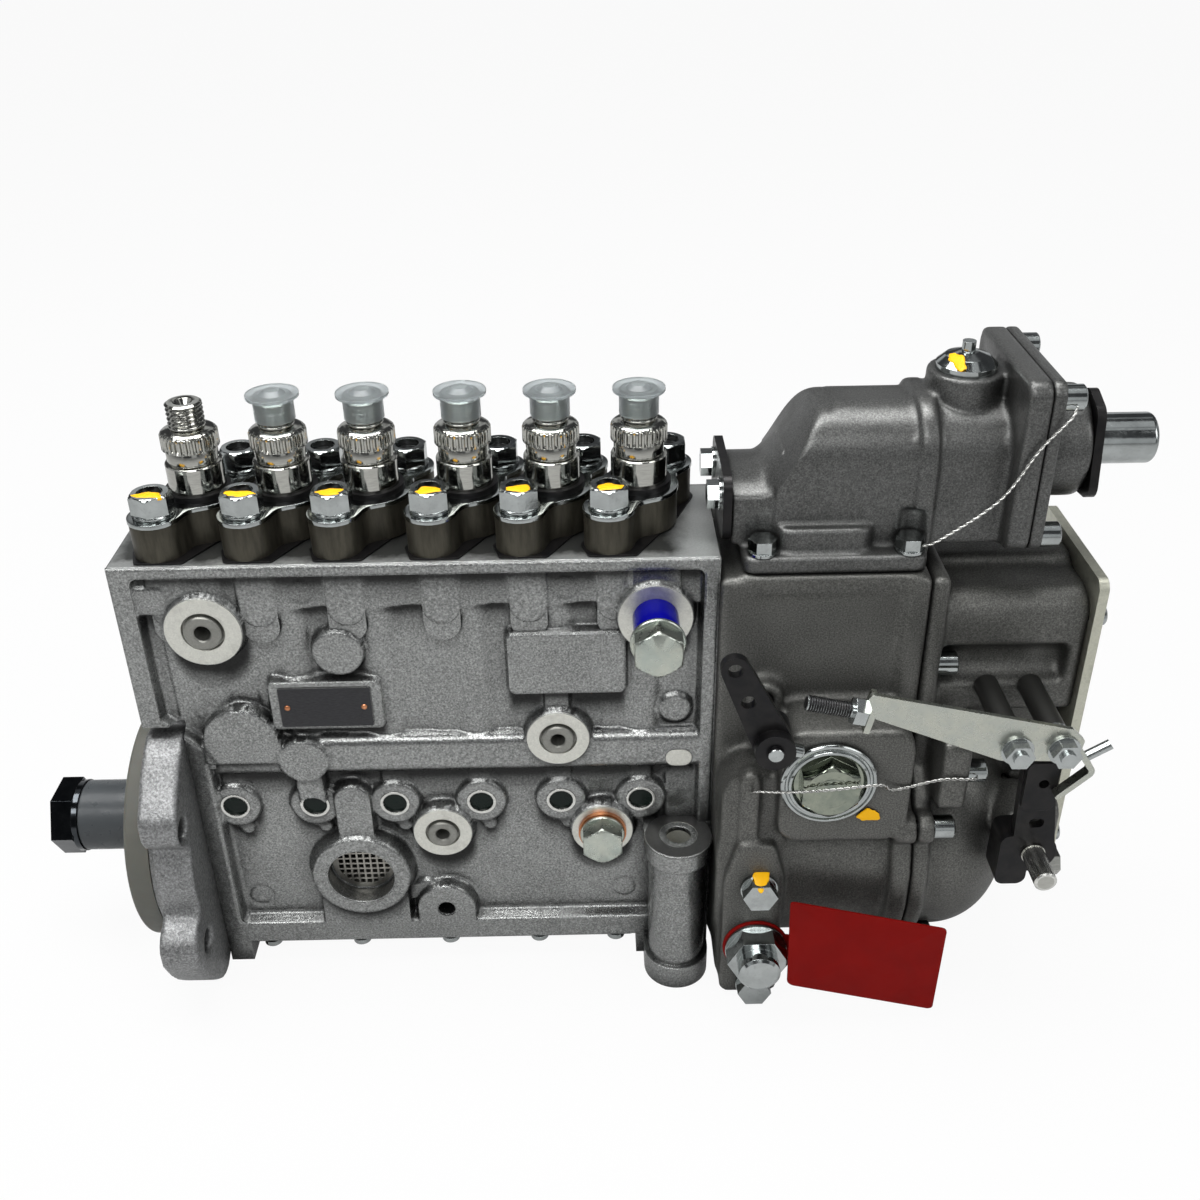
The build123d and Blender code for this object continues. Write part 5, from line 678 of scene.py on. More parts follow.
def front_wall(x, z):
    """Height of the front wall over its sunken plane, with ports, pads, necks and the inlet. Each
    row holds the distance outside a form, its height and the width of the fillet at its foot."""
    height = shared_wall(x, z, 1)
    upper, middle, lower, gallery = (boss[:2] for boss in FRONT_BOSSES[:4])
    for distance, level, foot in (
        # Upper left: corner pad, ribs of the upper port, disc over the name plate and its neck.
        (block(x, z, 12.5, 134.0, 16.0, 12.0, 3.0), 5.2, 4.0),
        (stick(x, z, (22.5, 108.0), (24.5, 78.0), 2.6), 1.7, 4.0),
        (stick(x, z, upper, (33.6, 150.0), 8.0), 4.6, 3.5),
        (disc(x, z, 85.8, 108.7, 10.3), 6.2, 3.0),
        (stick(x, z, (85.8, 112.0), (91.0, 128.0), 5.0), 3.2, 3.5),
        # Pad of the name plate and the square pad.
        (block(x, z, 78.3, 83.2, 46.4, 23.9), 6.2, 2.6),
        (block(x, z, 178.9, 101.7, 48.4, 29.4, 2.5), 6.2, 2.8),
        # Domed pad, and the disc, neck and rib beside it.
        (np.maximum(disc(x, z, 40.5, 66.0, 15.8), 54.4 - z), 7.5, 1.6),
        (block(x, z, 40.5, 60.2, 33.4, 11.8, 1.5), 7.5, 1.6),
        (disc(x, z, 65.2, 55.2, 10.7), 7.9, 2.0),
        (stick(x, z, (66.2, 50.0), (66.5, 34.0), 5.6), 7.4, 2.6),
        (block(x, z, 65.8, 40.0, 11.4, 24.0, 3.0), 3.4, 3.0),
        # Necks and webs of the other bosses, and two low forms over the column.
        (stick(x, z, middle, (174.2, 88.0), 5.0), 4.4, 3.0),
        (disc(x, z, 224.0, 76.0, 6.5), 3.0, 5.0),
        (stick(x, z, (227.0, 40.0), (227.0, 20.0), 6.4), 2.6, 4.5),
        (stick(x, z, gallery, (215.0, 150.0), 10.0), 5.2, 3.0),
        (stick(x, z, (210.0, 22.0), (196.0, 16.0), 5.0), 3.0, 4.0),
        (stick(x, z, lower, (139.5, GUIDE_Z), 4.0), 2.0, 4.0),
        (stick(x, z, lower, (101.5, GUIDE_Z), 4.0), 2.0, 4.0),
        # Inlet and oil hole with their feet, and the web between them.
        (stick(x, z, (INLET[0], 10.0), (INLET[0], 32.4), 7.8), 6.7, 3.0),
        (disc(x, z, *INLET, 22.8), 6.7, 3.0),
        (block(x, z, INLET[0], -32.0, 39.6, 46.0, 1.0), 6.66, 2.6),
        (disc(x, z, *OIL_HOLE, 13.2), 6.7, 3.0),
        (block(x, z, OIL_HOLE[0], -44.0, 26.6, 24.0, 1.0), 6.66, 2.6),
        (stick(x, z, (100.0, -26.0), (112.0, -22.0), 4.0), 3.4, 4.0),
        (disc(x, z, COLUMN[0], 0.0, 1.0), 0.2, 2.0),
    ):
        height = soft_max(height, rise(distance, level, foot), 1.0)
    for barrel in BARREL_X:
        lip = stick(x, z, (barrel, GUIDE_Z), (barrel + 3.0, 15.5), 3.0)
        for form, blend in (
            (rise(block(x, z, barrel, 40.0, 9.0, 26.0, 3.0), 2.2, 3.5), 1.2),
            (rise(disc(x, z, barrel, GUIDE_Z, 9.2), 3.5, 2.0, 1.0), 0.6),
            (rise(disc(x, z, barrel, BUSH_Z, 10.9), BUSH_FACE - WALL, 2.0, 2.4), 0.6),
            (rise(lip, 3.4, 2.5), 1.0),
        ):
            height = soft_max(height, form, blend)
    height = soft_max(height, rise(disc(x, z, *INLET, 21.7), 9.14, 1.2, 0.5), 0.5)
    for centre_x, centre_z, radius in FRONT_BOSSES:
        boss = rise(disc(x, z, centre_x, centre_z, radius + 0.1), 7.22, 3.4, 0.4)
        height = soft_max(height, boss, 0.8)
    ejector_marks = (74.0, 137.2, 5.1), (179.0, 137.2, 5.1), (34.0, -26.5, 5.5), (202.2, -26.0, 5.5)
    for mark in ejector_marks:
        height = height - 0.45 * np.exp(-((disc(x, z, *mark) / 0.6) ** 2))
    for centre_x, centre_z, radius in FRONT_BOSSES:
        height = np.where(disc(x, z, centre_x, centre_z, radius - 1.4) < 0, -2.5, height)
    return height


def back_wall(x, z):
    """Height of the back wall over its sunken plane."""
    return shared_wall(x, z, -1)


def sand(shape, seed):
    """Blasted surface: seeded random heights, averaged with their neighbours three times."""
    field = np.random.default_rng(seed).normal(size=shape)
    for _ in range(3):
        around = np.roll(field, 1, 0) + np.roll(field, -1, 0)
        around = around + np.roll(field, 1, 1) + np.roll(field, -1, 1)
        field = (field + around) / 5
    return field / field.std()


def cast_wall(name, height_of, side, cuts, rings, step, seed):
    """Wall whose depth is the wall plane plus the height function; points near a named circle are
    drawn on to it, and faces inside a cut circle or left of the flange step are left out."""
    (left, right), (foot, top) = WALL_X, WALL_Z
    columns = np.linspace(left, right, int((right - left) / step) + 1)
    rows = np.linspace(foot, top, int((top - foot) / step) + 1)
    x, z = np.meshgrid(columns, rows)
    for centre_x, centre_z, radius in (*cuts, *rings):
        reach = np.maximum(np.hypot(x - centre_x, z - centre_z), 1e-6)
        near = np.abs(reach - radius) < 0.62 * step
        pull = np.where(near, radius / reach, 1.0)
        x = centre_x + (x - centre_x) * pull
        z = centre_z + (z - centre_z) * pull
    height = height_of(x, z)
    height = height + SAND_HEIGHT * sand(x.shape, seed) * (height > 0)
    outer = np.minimum(np.minimum(x - left, right - x), top - z)
    height = soft_min(height, 5.4 + outer * 2.4, 0.8)
    points = np.stack([x, -side * (WALL + height), z], axis=-1)
    middle_x = (x[:-1, :-1] + x[1:, 1:]) / 2
    middle_z = (z[:-1, :-1] + z[1:, 1:]) / 2
    keep = (middle_x > FLANGE_STEP[0]) | (middle_z > FLANGE_STEP[1])
    for centre_x, centre_z, radius in cuts:
        keep &= np.hypot(middle_x - centre_x, middle_z - centre_z) > radius
    if side < 0:
        points = points[:, ::-1]
        keep = keep[:, ::-1]
    grid = (points, False, keep.reshape(-1))
    add_painted_shadow(piece(name, [grid], "housing_cast", sharp=70, closed=False), height_of, step)


def painted_shadow_of(height, step, reach=15.0):
    """Painted shadow of a wall: how far each point lies in the lee of what stands above it, as the
    steepest slope up to any point within reach above, from 0 where it is slight to 1 where it is
    two thirds or more."""
    steepest = np.zeros_like(height)
    for away in range(1, int(reach / step)):
        climb = (height[away:] - height[:-away]) / (away * step)
        steepest[:-away] = np.maximum(steepest[:-away], climb)
    painted_shadow = np.clip((steepest - 0.14) / 0.5, 0, 1)
    for axis in (0, 1, 0, 1):
        painted_shadow = (painted_shadow + np.roll(painted_shadow, 1, axis) + np.roll(painted_shadow, -1, axis)) / 3
    return painted_shadow


def add_painted_shadow(obj, height_of, step):
    """Stores the painted shadow of a wall on its points: the attribute by which the castings paint
    shadow into their colour.
    """
    columns = np.arange(WALL_X[0], WALL_X[1] + 0.01, step)
    rows = np.arange(WALL_Z[0], WALL_Z[1] + 0.01, step)
    painted_shadow = painted_shadow_of(np.maximum(height_of(*np.meshgrid(columns, rows)), 0.0), step)
    mesh = obj.data
    spots = np.empty(len(mesh.vertices) * 3)
    mesh.vertices.foreach_get("co", spots)
    spots = spots.reshape(-1, 3) / MM
    column = np.rint((spots[:, 0] - WALL_X[0]) / step).astype(int)
    row = np.rint((spots[:, 2] - WALL_Z[0]) / step).astype(int)
    column = np.clip(column, 0, len(columns) - 1)
    row = np.clip(row, 0, len(rows) - 1)
    layer = mesh.attributes.new("painted_shadow", "FLOAT", "POINT")
    layer.data.foreach_set("value", painted_shadow[row, column].astype(np.float32))


# ------------------------------------------------------------------ soft castings
def scooped(points, normals):
    """Compensator body: its top follows a smooth step from the low head up to the arch. Points of
    the spring room, whose normals face its axis, are drawn inwards so that the wall keeps a
    thickness."""
    axis_z, room_start, room_radius = 183.3, 262.0, 23.0
    head_top, climb, climb_start, climb_run = 177.2, 27.2, 257.0, 25.0
    arch_start, arch_foot, crown = 284.0, 160.0, 0.012
    x, y, z = points.T
    lift = np.clip((x - climb_start) / climb_run, 0, 1)
    top = head_top + climb * lift**2 * (3 - 2 * lift)
    away = np.stack([np.zeros_like(x), y, z - axis_z], axis=1)
    facing = np.sum(away * normals, axis=1) < 0
    inner = facing & (np.hypot(y, z - axis_z) < room_radius) & (x > room_start)
    pull = np.where(inner, 0.9, 1.0)
    y, z = y * pull, axis_z + (z - axis_z) * pull
    capped = soft_min(z, top - crown * y**2 * (1 - lift) - 2.0 * inner, 4.0)
    z = np.where((x < arch_start) & (z > arch_foot), capped, z)
    return np.stack([x, y, z], axis=1)


def softened(node, finish, voxel, passes, shaping=None):
    """Copy of a casting with every edge rounded: merged, rebuilt on an even grid and then relaxed,
    each point moving half way to the mean of its neighbours on each pass. The shaping, if given, is
    a function of the points in millimetres and their normals."""
    mesh = NODES[node].data.copy()
    work = bmesh.new()
    work.from_mesh(mesh)
    bmesh.ops.remove_doubles(work, verts=work.verts, dist=2e-6)
    work.to_mesh(mesh)
    work.free()
    rough = bpy.data.objects.new("rough_" + node, mesh)
    bpy.context.scene.collection.objects.link(rough)
    grid = rough.modifiers.new("grid", "REMESH")
    grid.mode = "VOXEL"
    grid.voxel_size = voxel
    relax = rough.modifiers.new("relax", "SMOOTH")
    relax.factor = 0.5
    relax.iterations = passes
    applied = rough.evaluated_get(bpy.context.evaluated_depsgraph_get())
    shaped = bpy.data.meshes.new_from_object(applied)
    bpy.data.objects.remove(rough)
    name = "soft_" + node
    shaped.name = name
    if shaping is not None:
        points = np.empty(len(shaped.vertices) * 3)
        shaped.vertices.foreach_get("co", points)
        normals = np.empty(len(shaped.vertices) * 3)
        shaped.vertex_normals.foreach_get("vector", normals)
        points = shaping(points.reshape(-1, 3) / MM, normals.reshape(-1, 3)) * MM
        shaped.vertices.foreach_set("co", points.reshape(-1))
        shaped.update()
    shaped.shade_smooth()
    dressed(name, shaped, "pump_body", finish, (node,))


# ------------------------------------------------------------------ settings
# Solids whose look differs from the usual finish of their slot.
OWN_FINISH = {
    "shaft_sleeve": "smoky_sleeve",
    "shaft_nut": "dark_zinc",
    "inlet_screen": "screen_wire",
    "compensator_cover": "compensator_cast",
    "end_plate": "cream_plate",
    "bracket_fasteners": "back_rods",
}


class PumpLook(PropertyGroup):
    """Colours of the castings, plating, plastics and paint."""

    def colour(label, meaning, value):
        return FloatVectorProperty(
            name=label, description=meaning, default=value, subtype="COLOR", min=0.0, max=1.0
        )

    housing: colour("Housing", "Blasted aluminium of the pump housing", (0.235, 0.24, 0.235))
    governor: colour("Governor", "Die cast aluminium of the governor", (0.104, 0.104, 0.097))
    compensator: colour("Compensator", "Die cast aluminium on top", (0.094, 0.095, 0.092))
    flange: colour("Flange", "Blasted aluminium of the drive flange", (0.2, 0.203, 0.203))
    zinc: colour("Zinc", "Bright zinc plate of screws, nuts and plates", (0.42, 0.445, 0.44))
    phosphate: colour("Phosphate", "Phosphate coat of the bushings", (0.065, 0.06, 0.046))
    sleeve: colour("Sleeve", "Sleeve under the gallery bolt", (0.001, 0.001, 0.15))
    tag: colour("Tag", "Plastic of the hanging tag", (0.18, 0.003, 0.002))
    paint: colour("Paint", "Marking paint on locked fasteners", (0.85, 0.44, 0.005))


class PumpSizes(PropertyGroup):
    """Sizes of the details that are added over the solids, in metres."""

    def length(label, meaning, value):
        return FloatProperty(
            name=label, description=meaning, default=value, unit="LENGTH", min=0.0, precision=5
        )

    def count(label, meaning, value, least):
        return IntProperty(name=label, description=meaning, default=value, min=least)

    outlet_pitch: length("Outlet pitch", "Thread pitch of the outlet threads", 0.0019)
    outlet_depth: length("Outlet thread depth", "Depth of the outlet threads", 0.001)
    spline_depth: length("Spline depth", "Depth of the lock splines", 0.0009)
    wire_radius: length("Wire radius", "Radius of one strand of lock wire", 0.00036)
    wire_lay: length("Wire lay", "Length of one full twist of the lock wire", 0.0058)
    tag_bow: length("Tag bow", "How far the middle of the tag bows out", 0.0022)
    voxel: length("Casting grid", "Grid size of the softened castings", 0.0014)
    spline_count: count("Splines", "Lock splines round each valve holder", 30, 6)
    soften: count("Softening", "Smoothing passes of the castings", 7, 0)


def sizes_mm(key):
    """A length of the sizes group, in millimetres."""
    return getattr(bpy.context.scene.pump_sizes, key) / MM


# ------------------------------------------------------------------ pieces
class PUMP_OT_finishes(Operator):
    """Gives every solid of the pump the finish of its slot"""

    bl_idname = "pump.finishes"
    bl_label = "Finish the solids"

    def execute(self, context):
        look = context.scene.pump_look
        FINISHES.clear()
        for family in (cast_finishes, steel_finishes, plastic_finishes):
            FINISHES.update(family(look))
        for name, solid in NODES.items():
            for holder in solid.material_slots:
                if holder.material is None or holder.material.name not in FINISHES:
                    raise RuntimeError("no finish for a slot of " + name)
                holder.material = FINISHES[OWN_FINISH.get(name, holder.material.name)]
        return {"FINISHED"}


class PUMP_OT_valve_holders(Operator):
    """Valve holders with a lock spline band, an outlet thread and a cone seat"""

    bl_idname = "pump.valve_holders"
    bl_label = "Valve holders"

    def execute(self, context):
        count = context.scene.pump_sizes.spline_count
        spline, depth, pitch = map(sizes_mm, ("spline_depth", "outlet_depth", "outlet_pitch"))
        band_foot, band_top, thread_foot, thread_top, bore = 187.6, 194.0, 196.4, 205.4, 6.0

        def shape(radius, angle, height):
            """Splines: inside the band the radius dips by a steep wave of the angle. Thread: above
            it the radius dips by a triangle wave of height minus turn."""
            band = np.clip((height - band_foot) / 0.4, 0, 1)
            band = band * np.clip((band_top - height) / 1.2, 0, 1)
            tooth = np.clip(0.5 - 1.4 * np.cos(angle * count), 0, 1)
            groove = np.abs(2 * np.mod(height / pitch - angle / (2 * np.pi), 1.0) - 1)
            thread = np.clip((height - thread_foot) / 0.8, 0, 1)
            thread = thread * np.clip((thread_top - height) / 0.7, 0, 1)
            return radius - (radius > bore) * (band * spline * tooth + thread * depth * groove)

        profile = [(0, 164), (9.4, 164), (9.4, 169.6), (10.9, 169.6), (11.3, 170.0), (11.3, 180.7)]
        profile += [(11.0, 181.2), (10.2, 181.4), (9.7, 181.6), (9.7, 182.0), (10.1, 182.3)]
        profile += [(10.1, 186.9), (9.9, 187.3)]
        profile += [(11.35, height) for height in np.linspace(187.5, 193.0, 6)]
        profile += [(11.1, 193.6), (10.5, 194.2), (9.5, 194.8), (8.3, 195.2), (7.0, 195.5)]
        profile += [(6.5, 195.8)]
        profile += [(7.25, height) for height in np.arange(196.1, 205.35, 0.2)]
        profile += [(6.9, 205.5), (6.3, 205.95), (4.2, 206.0), (3.7, 205.8), (1.9, 203.0)]
        profile += [(1.6, 202.6), (1.6, 199.0), (0, 199.0)]
        holder = turned(profile, count * 6, shape)
        grids = [(holder + np.array((x, 0, 0)), True) for x in BARREL_X]
        replaced = ("delivery_valve_holders",)
        piece("valve_holders_splined", grids, "polished_steel", replaced=replaced)
        return {"FINISHED"}


class PUMP_OT_drive_splines(Operator):
    """Splined end of the control shaft and thread of the stop screw"""

    bl_idname = "pump.drive_splines"
    bl_label = "Splines and stop screw"

    def execute(self, context):
        shaft_end, shaft_radius, tooth_count, tooth_depth = (371.5, -67.95, 26.0), 4.62, 24, 0.3

        def teeth(radius, angle, height):
            """The radius dips by a wave of the angle, faded out near both ends."""
            fade = np.clip((height - 1.2) / 0.8, 0, 1) * np.clip((17.4 - height) / 0.8, 0, 1)
            wave = np.clip(0.5 + 1.3 * np.cos(angle * tooth_count), 0, 1)
            return radius - (radius > 4.0) * fade * tooth_depth * wave

        profile = [(3.5, -0.4), (shaft_radius, -0.2), (shaft_radius, 0.5)]
        profile += [(shaft_radius, height) for height in np.linspace(0.8, 17.6, 12)]
        profile += [(4.1, 18.02), (2.4, 18.05), (1.1, 17.9), (0.9, 17.3), (0.0, 17.2)]
        shaft = lathe(profile, shaft_end, FRONT, 144, teeth)
        piece(
            "control_shaft_splines", [shaft], "polished_steel", "tip_steel", 34,
            body="control_lever_group",
        )

        screw_start, screw_radius, root, thread_depth = (271.0, -70.5, 106.6), 3.28, 2.9, 0.32
        slope = np.radians(12.7)

        def ridges(radius, angle, height):
            """Screw thread of pitch 1: the radius dips by a triangle wave of height minus turn."""
            turn = np.mod(height - angle / (2 * np.pi), 1.0)
            return radius - (radius > root) * thread_depth * np.abs(2 * turn - 1)

        profile = [(0.0, -0.02), (2.3, -0.02), (root, 0.45)]
        profile += [(screw_radius, height) for height in np.arange(0.7, 17.6, 0.16)]
        profile += [(root, 18.0)]
        along = (np.cos(slope), 0.0, -np.sin(slope))
        screw = lathe(profile, screw_start, along, 32, ridges)
        piece("stop_screw_thread", [screw], "black_oxide", closed=False)
        return {"FINISHED"}


class PUMP_OT_wires(Operator):
    """Lock wires of two twisted strands"""

    bl_idname = "pump.wires"
    bl_label = "Lock wires"

    def execute(self, context):
        sight_route = (
            (253.9, -59.6, 54.6), (256.0, -62.6, 57.2), (267.7, -69.8, 62.3), (283.3, -71.9, 64.7),
            (303.8, -69.8, 64.9), (311.0, -64.2, 57.8), (331.0, -60.6, 59.6), (344.5, -59.4, 58.6),
            (347.4, -55.7, 57.5),
        )
        cover_route = (
            (318.55, -33.3, 153.6), (325.0, -36.6, 158.6), (345.0, -37.0, 174.9),
            (356.9, -37.0, 195.3), (366.5, -36.8, 207.5), (369.3, -33.9, 211.2),
        )
        radius, lay = map(sizes_mm, ("wire_radius", "wire_lay"))
        fade = 1.5
        grids = []
        for route in (sight_route, cover_route):
            path = smooth_path(route, per_run=40)
            _, normal, binormal = frames_along(path)
            run = np.concatenate([[0], np.cumsum(np.linalg.norm(np.diff(path, axis=0), axis=1))])
            turn = 2 * np.pi * run / lay
            ends = np.clip(run / fade, 0, 1) * np.clip((run[-1] - run) / fade, 0, 1)
            swing = (radius * 0.96 * ends)[:, None]
            for start in (0.0, np.pi):
                across, upright = np.cos(turn + start), np.sin(turn + start)
                lean = across[:, None] * normal + upright[:, None] * binormal
                grids.append((tube(path + swing * lean, radius, sides=7), True))
        replaced = ("lock_wires",)
        piece("twisted_lock_wires", grids, "pale_zinc", "spring_bright", 60, replaced=replaced)
        return {"FINISHED"}


class PUMP_OT_paint(Operator):
    """Dabs of marking paint and the small name plate with its rivets"""

    bl_idname = "pump.paint"
    bl_label = "Paint and name plate"

    def execute(self, context):
        def dab(centre, direction, length, width, height, seed, lean=0.0):
            """Low dome over an outline, which is an ellipse times a wavy function of the angle."""
            angle = np.linspace(0, 2 * np.pi, 48, endpoint=False)
            random = np.random.default_rng(seed)
            wave = 1 + sum(
                amplitude * np.sin(order * angle + random.uniform(0, 6.28))
                for order, amplitude in ((2, 0.12), (3, 0.13), (5, 0.07), (8, 0.05))
            )
            dome = ((1.0, -0.25), (1.0, 0.25), (0.9, 0.65), (0.6, 0.93), (0.3, 1.0), (0.0, 1.0))
            rings = np.array(dome)
            reach = rings[:, :1] * wave[None, :]
            x, y = reach * length / 2 * np.cos(angle), reach * width / 2 * np.sin(angle)
            turn = np.radians(lean)
            x, y = x * np.cos(turn) - y * np.sin(turn), x * np.sin(turn) + y * np.cos(turn)
            z = np.repeat(rings[:, 1:], len(angle), axis=1) * height
            return placed(np.stack([x, y, z], axis=-1), centre, direction), True

        # On the front nuts, the timing bolt, the sight plug's boss and the dome plug.
        grids = []
        for number, x in enumerate(BARREL_X):
            spot = (x - EAR[0] + 0.2, -EAR[1] - 3.0, NUT_TOP - 0.75)
            grids.append(dab(spot, UP, 11.4, 6.2, 1.2, 11 + number, 4 * number - 8))
        grids.append(dab((259.4, -64.0, 11.4), (0.0, -0.35, 1.0), 7.4, 11.0, 0.6, 31))
        grids.append(dab((302.4, -62.6, 43.4), FRONT, 8.6, 6.4, 0.5, 33, 10))
        grids.append(dab((331.0, -6.5, 219.0), (-0.45, -0.35, 1.0), 10.5, 5.4, 0.5, 35, -25))
        piece("paint_dabs", grids, "red_plastic", "paint", 60)

        plate_x, plate_y, plate_z = 78.0, -33.1, 82.6
        plate = slab(rounded_outline(38.5, 19.5, 0.8), 0.55, 0.12)
        plate = placed(plate, (plate_x, plate_y, plate_z), FRONT)
        piece("name_plate", [(plate, True)], "black_oxide", "name_plate")
        rivet = ((0, 0.1), (1.35, 0.1), (1.35, 0.5), (1.1, 0.85), (0.6, 1.05), (0, 1.1))
        spots = [(plate_x + away, plate_y - 0.1, plate_z) for away in (-16.0, 16.0)]
        rivets = [lathe(rivet, spot, steps=20) for spot in spots]
        piece("name_plate_rivets", rivets, "copper", sharp=40)
        return {"FINISHED"}


class PUMP_OT_nuts(Operator):
    """Chamfered nuts, bolts and plugs"""

    bl_idname = "pump.nuts"
    bl_label = "Nuts and plugs"

    def execute(self, context):
        base = CLAMP_TOP + 1.7
        nut = hex_head(14.8, NUT_TOP - base, bore=5.0, collar=8.3)
        spots = [(x + side * EAR[0], side * EAR[1]) for x in BARREL_X for side in (-1, 1)]
        grids = [(placed(nut, (*spot, base)), True) for spot in spots]
        piece("chamfered_nuts", grids, "zinc_plate", replaced=("flange_nuts",))
        stud = ((0.0, -1.0), (4.9, -1.0), (4.9, -0.3), (4.3, 0.3), (0.0, 0.3))
        grids = [lathe(stud, (*spot, NUT_TOP - 3.0), UP, 32) for spot in spots]
        piece("stud_ends", grids, "black_oxide")

        # Each row: node, boss that it is screwed into, depth of the head, its flats, height and
        # collar, depth of the shank, its radius and length.
        for node, (x, z, _), head_y, flats, height, collar, shank_y, radius, length in (
            ("gallery_bolt", GALLERY_BOSS, -53.4, 18.6, 8.6, 11.0, -28.0, 5.0, 24.4),
            ("hex_plug", PLUG_BOSS, -37.9, 17.0, 8.0, 9.8, -27.2, 6.0, 9.2),
        ):
            head = hex_head(flats, height, crown=0.25, collar=collar)
            shank = lathe(rod(radius, length), (x, shank_y, z), steps=32)
            grids = [(placed(head, (x, head_y, z), FRONT), True), shank]
            piece("chamfered_" + node, grids, "zinc_plate", "green_zinc", replaced=(node,))

        dish = [(0.0, -9.8), (12.0, -9.8), (12.0, -0.2), (19.2, -0.2), (19.7, 0.3), (19.7, 1.7)]
        dish += [(19.2, 2.2), (18.2, 2.3), (17.7, 1.6), (16.9, 1.5), (16.4, 2.4), (15.4, 2.6)]
        dish += [(14.9, 1.5), (14.4, 1.1), (14.2, 0.8), (0.0, 0.8)]
        rings = [lathe(dish, SIGHT_PLUG, steps=96)]
        piece("ringed_sight_plug", rings, "zinc_plate", replaced=("sight_plug",))
        dome = ((0.0, 7.7), (7.4, 7.7), (7.0, 7.95), (0.0, 7.97))
        cup = ((14.2, 0.85), (12.0, 0.95), (0.0, 0.95))
        grids = [(placed(hex_head(23.0, 7.0, base=0.8), SIGHT_PLUG, FRONT), True)]
        grids += [lathe(profile, SIGHT_PLUG, steps=64) for profile in (dome, cup)]
        piece("sight_plug_hexagon", grids, "zinc_plate", "sight_zinc", closed=False)

        pin = ((0.0, -1.0), (3.2, -1.0), (3.2, 0.5), (2.8, 0.9), (0.0, 0.9))
        tip = ((0.0, 0.0), (2.9, 0.0), (2.9, 13.0), (2.4, 13.6), (0.0, 13.6))
        tip_grid = lathe(tip, (258.5, -68.5, 85.5), (0.97, -0.1, -0.22), 24)
        grids = [lathe(pin, LEVER_PIN, steps=32), tip_grid]
        piece("lever_pin", grids, "zinc_plate", body="stop_lever_group")
        return {"FINISHED"}


class PUMP_OT_clamps(Operator):
    """Bushings and clamp plates with a waist between the middle and each ear"""

    bl_idname = "pump.clamps"
    bl_label = "Waisted clamps"

    def execute(self, context):
        for name, node, slot, middle, ear, base, top in (
            (
                "waisted_bushings", "flange_bushings", "phosphated_steel", 15.6, 10.1,
                BUSHING_BASE, CLAMP_BASE,
            ),
            ("waisted_plates", "clamp_plates", "zinc_plate", 16.0, 10.5, CLAMP_BASE, CLAMP_TOP),
        ):
            sheet = slab(waisted_outline(middle, ear), top - base, 0.35)
            grids = [(sheet + np.array((x, 0.0, base)), True) for x in BARREL_X]
            piece(name, grids, slot, sharp=40, replaced=(node,))
        return {"FINISHED"}


class PUMP_OT_faces(Operator):
    """Machined faces of the ports, bosses and top deck"""

    bl_idname = "pump.faces"
    bl_label = "Machined faces"

    def execute(self, context):
        def face(radius, inner):
            """Profile of a faced boss: a short wall, a rounded brim and a flat to the inner end."""
            wall = [(radius + 0.05, -0.7), (radius + 0.05, -0.25), (radius - 0.25, 0.06)]
            return wall + inner

        def skin(name, grids, finish, sharp=28, closed=False):
            piece(name, grids, "housing_cast", finish, sharp, closed)

        faces = []
        seats = []
        ports = (UPPER_PORT, MIDDLE_PORT, LOWER_PORT)
        for (x, z, radius), recess, hole in zip(ports, (8.5, 7.7, 7.4), (3.3, 3, 3)):
            spot = (x, -BOSS_FACE, z)
            inner = [(recess + 0.3, 0.06), (recess, -0.3), (recess, -1.7)]
            faces.append(lathe(face(radius, inner), spot))
            collar = recess - 0.8
            seat = [(recess + 0.02, -1.6), (collar + 0.1, -1.7), (collar, -1.6), (collar, 0.9)]
            seat += [(collar - 0.6, 1.4), (hole + 0.7, 1.4), (hole + 0.1, 1.0)]
            seat += [(hole - 0.06, 0.6), (hole - 0.06, -7.8)]
            seats.append(lathe(seat, spot))
        skin("port_seats", seats, "seat_face")
        for (x, z, radius), hole in ((GALLERY_BOSS, 5.2), (PLUG_BOSS, 6.2)):
            inner = [(hole, 0.06), (hole, -0.4)]
            faces.append(lathe(face(radius, inner), (x, -BOSS_FACE, z)))
        oval = slab(rounded_outline(11.2, 8.4, 3.9), 0.5, 0.15, rings=4)
        faces.append((placed(oval, (225.6, -33.3, 52.8), FRONT), True))
        skin("machined_bosses", faces, "machined_face")
        top = ((15.05, -0.6), (15.05, -0.3), (14.4, 0.05), (8.4, 0.05))
        skin("column_face", [lathe(top, COLUMN, UP)], "dull_face")
        sink = ((8.4, 0.05), (5.6, -2.0), (5.45, -2.4), (5.45, -30.0))
        skin("column_countersink", [lathe(sink, COLUMN, UP)], "machined_face")
        deck = slab(rounded_outline(240.1, 66.6, 0.4), 0.4, 0.3) + np.array((120.25, 0.0, 149.7))
        skin("top_deck", [(deck, True)], "deck", 50, True)
        return {"FINISHED"}


class PUMP_OT_bushes(Operator):
    """Guide bushes: a bright rim round a green bore closed by a shallow disc, near black as painted
    shade
    """

    bl_idname = "pump.bushes"
    bl_label = "Guide bushes"

    def execute(self, context):
        rim = ((6.6, -0.9), (6.6, -0.1), (6.4, 0.25), (5.7, 0.3), (5.2, 0.1), (5.1, -1.1))
        bore = ((5.12, -0.9), (5.1, -1.1), (0.0, -1.2))
        for name, profile, slot, finish, replaced in (
            ("guide_bush_rims", rim, "polished_steel", "tip_steel", ()),
            ("guide_bush_bores", bore, "yellow_brass", "green_bush", ("guide_bushes",)),
        ):
            spots = [(x, -BUSH_FACE - 0.05, BUSH_Z) for x in BARREL_X]
            grids = [lathe(profile, spot, steps=48) for spot in spots]
            piece(name, grids, slot, finish, closed=False, replaced=replaced)
        return {"FINISHED"}


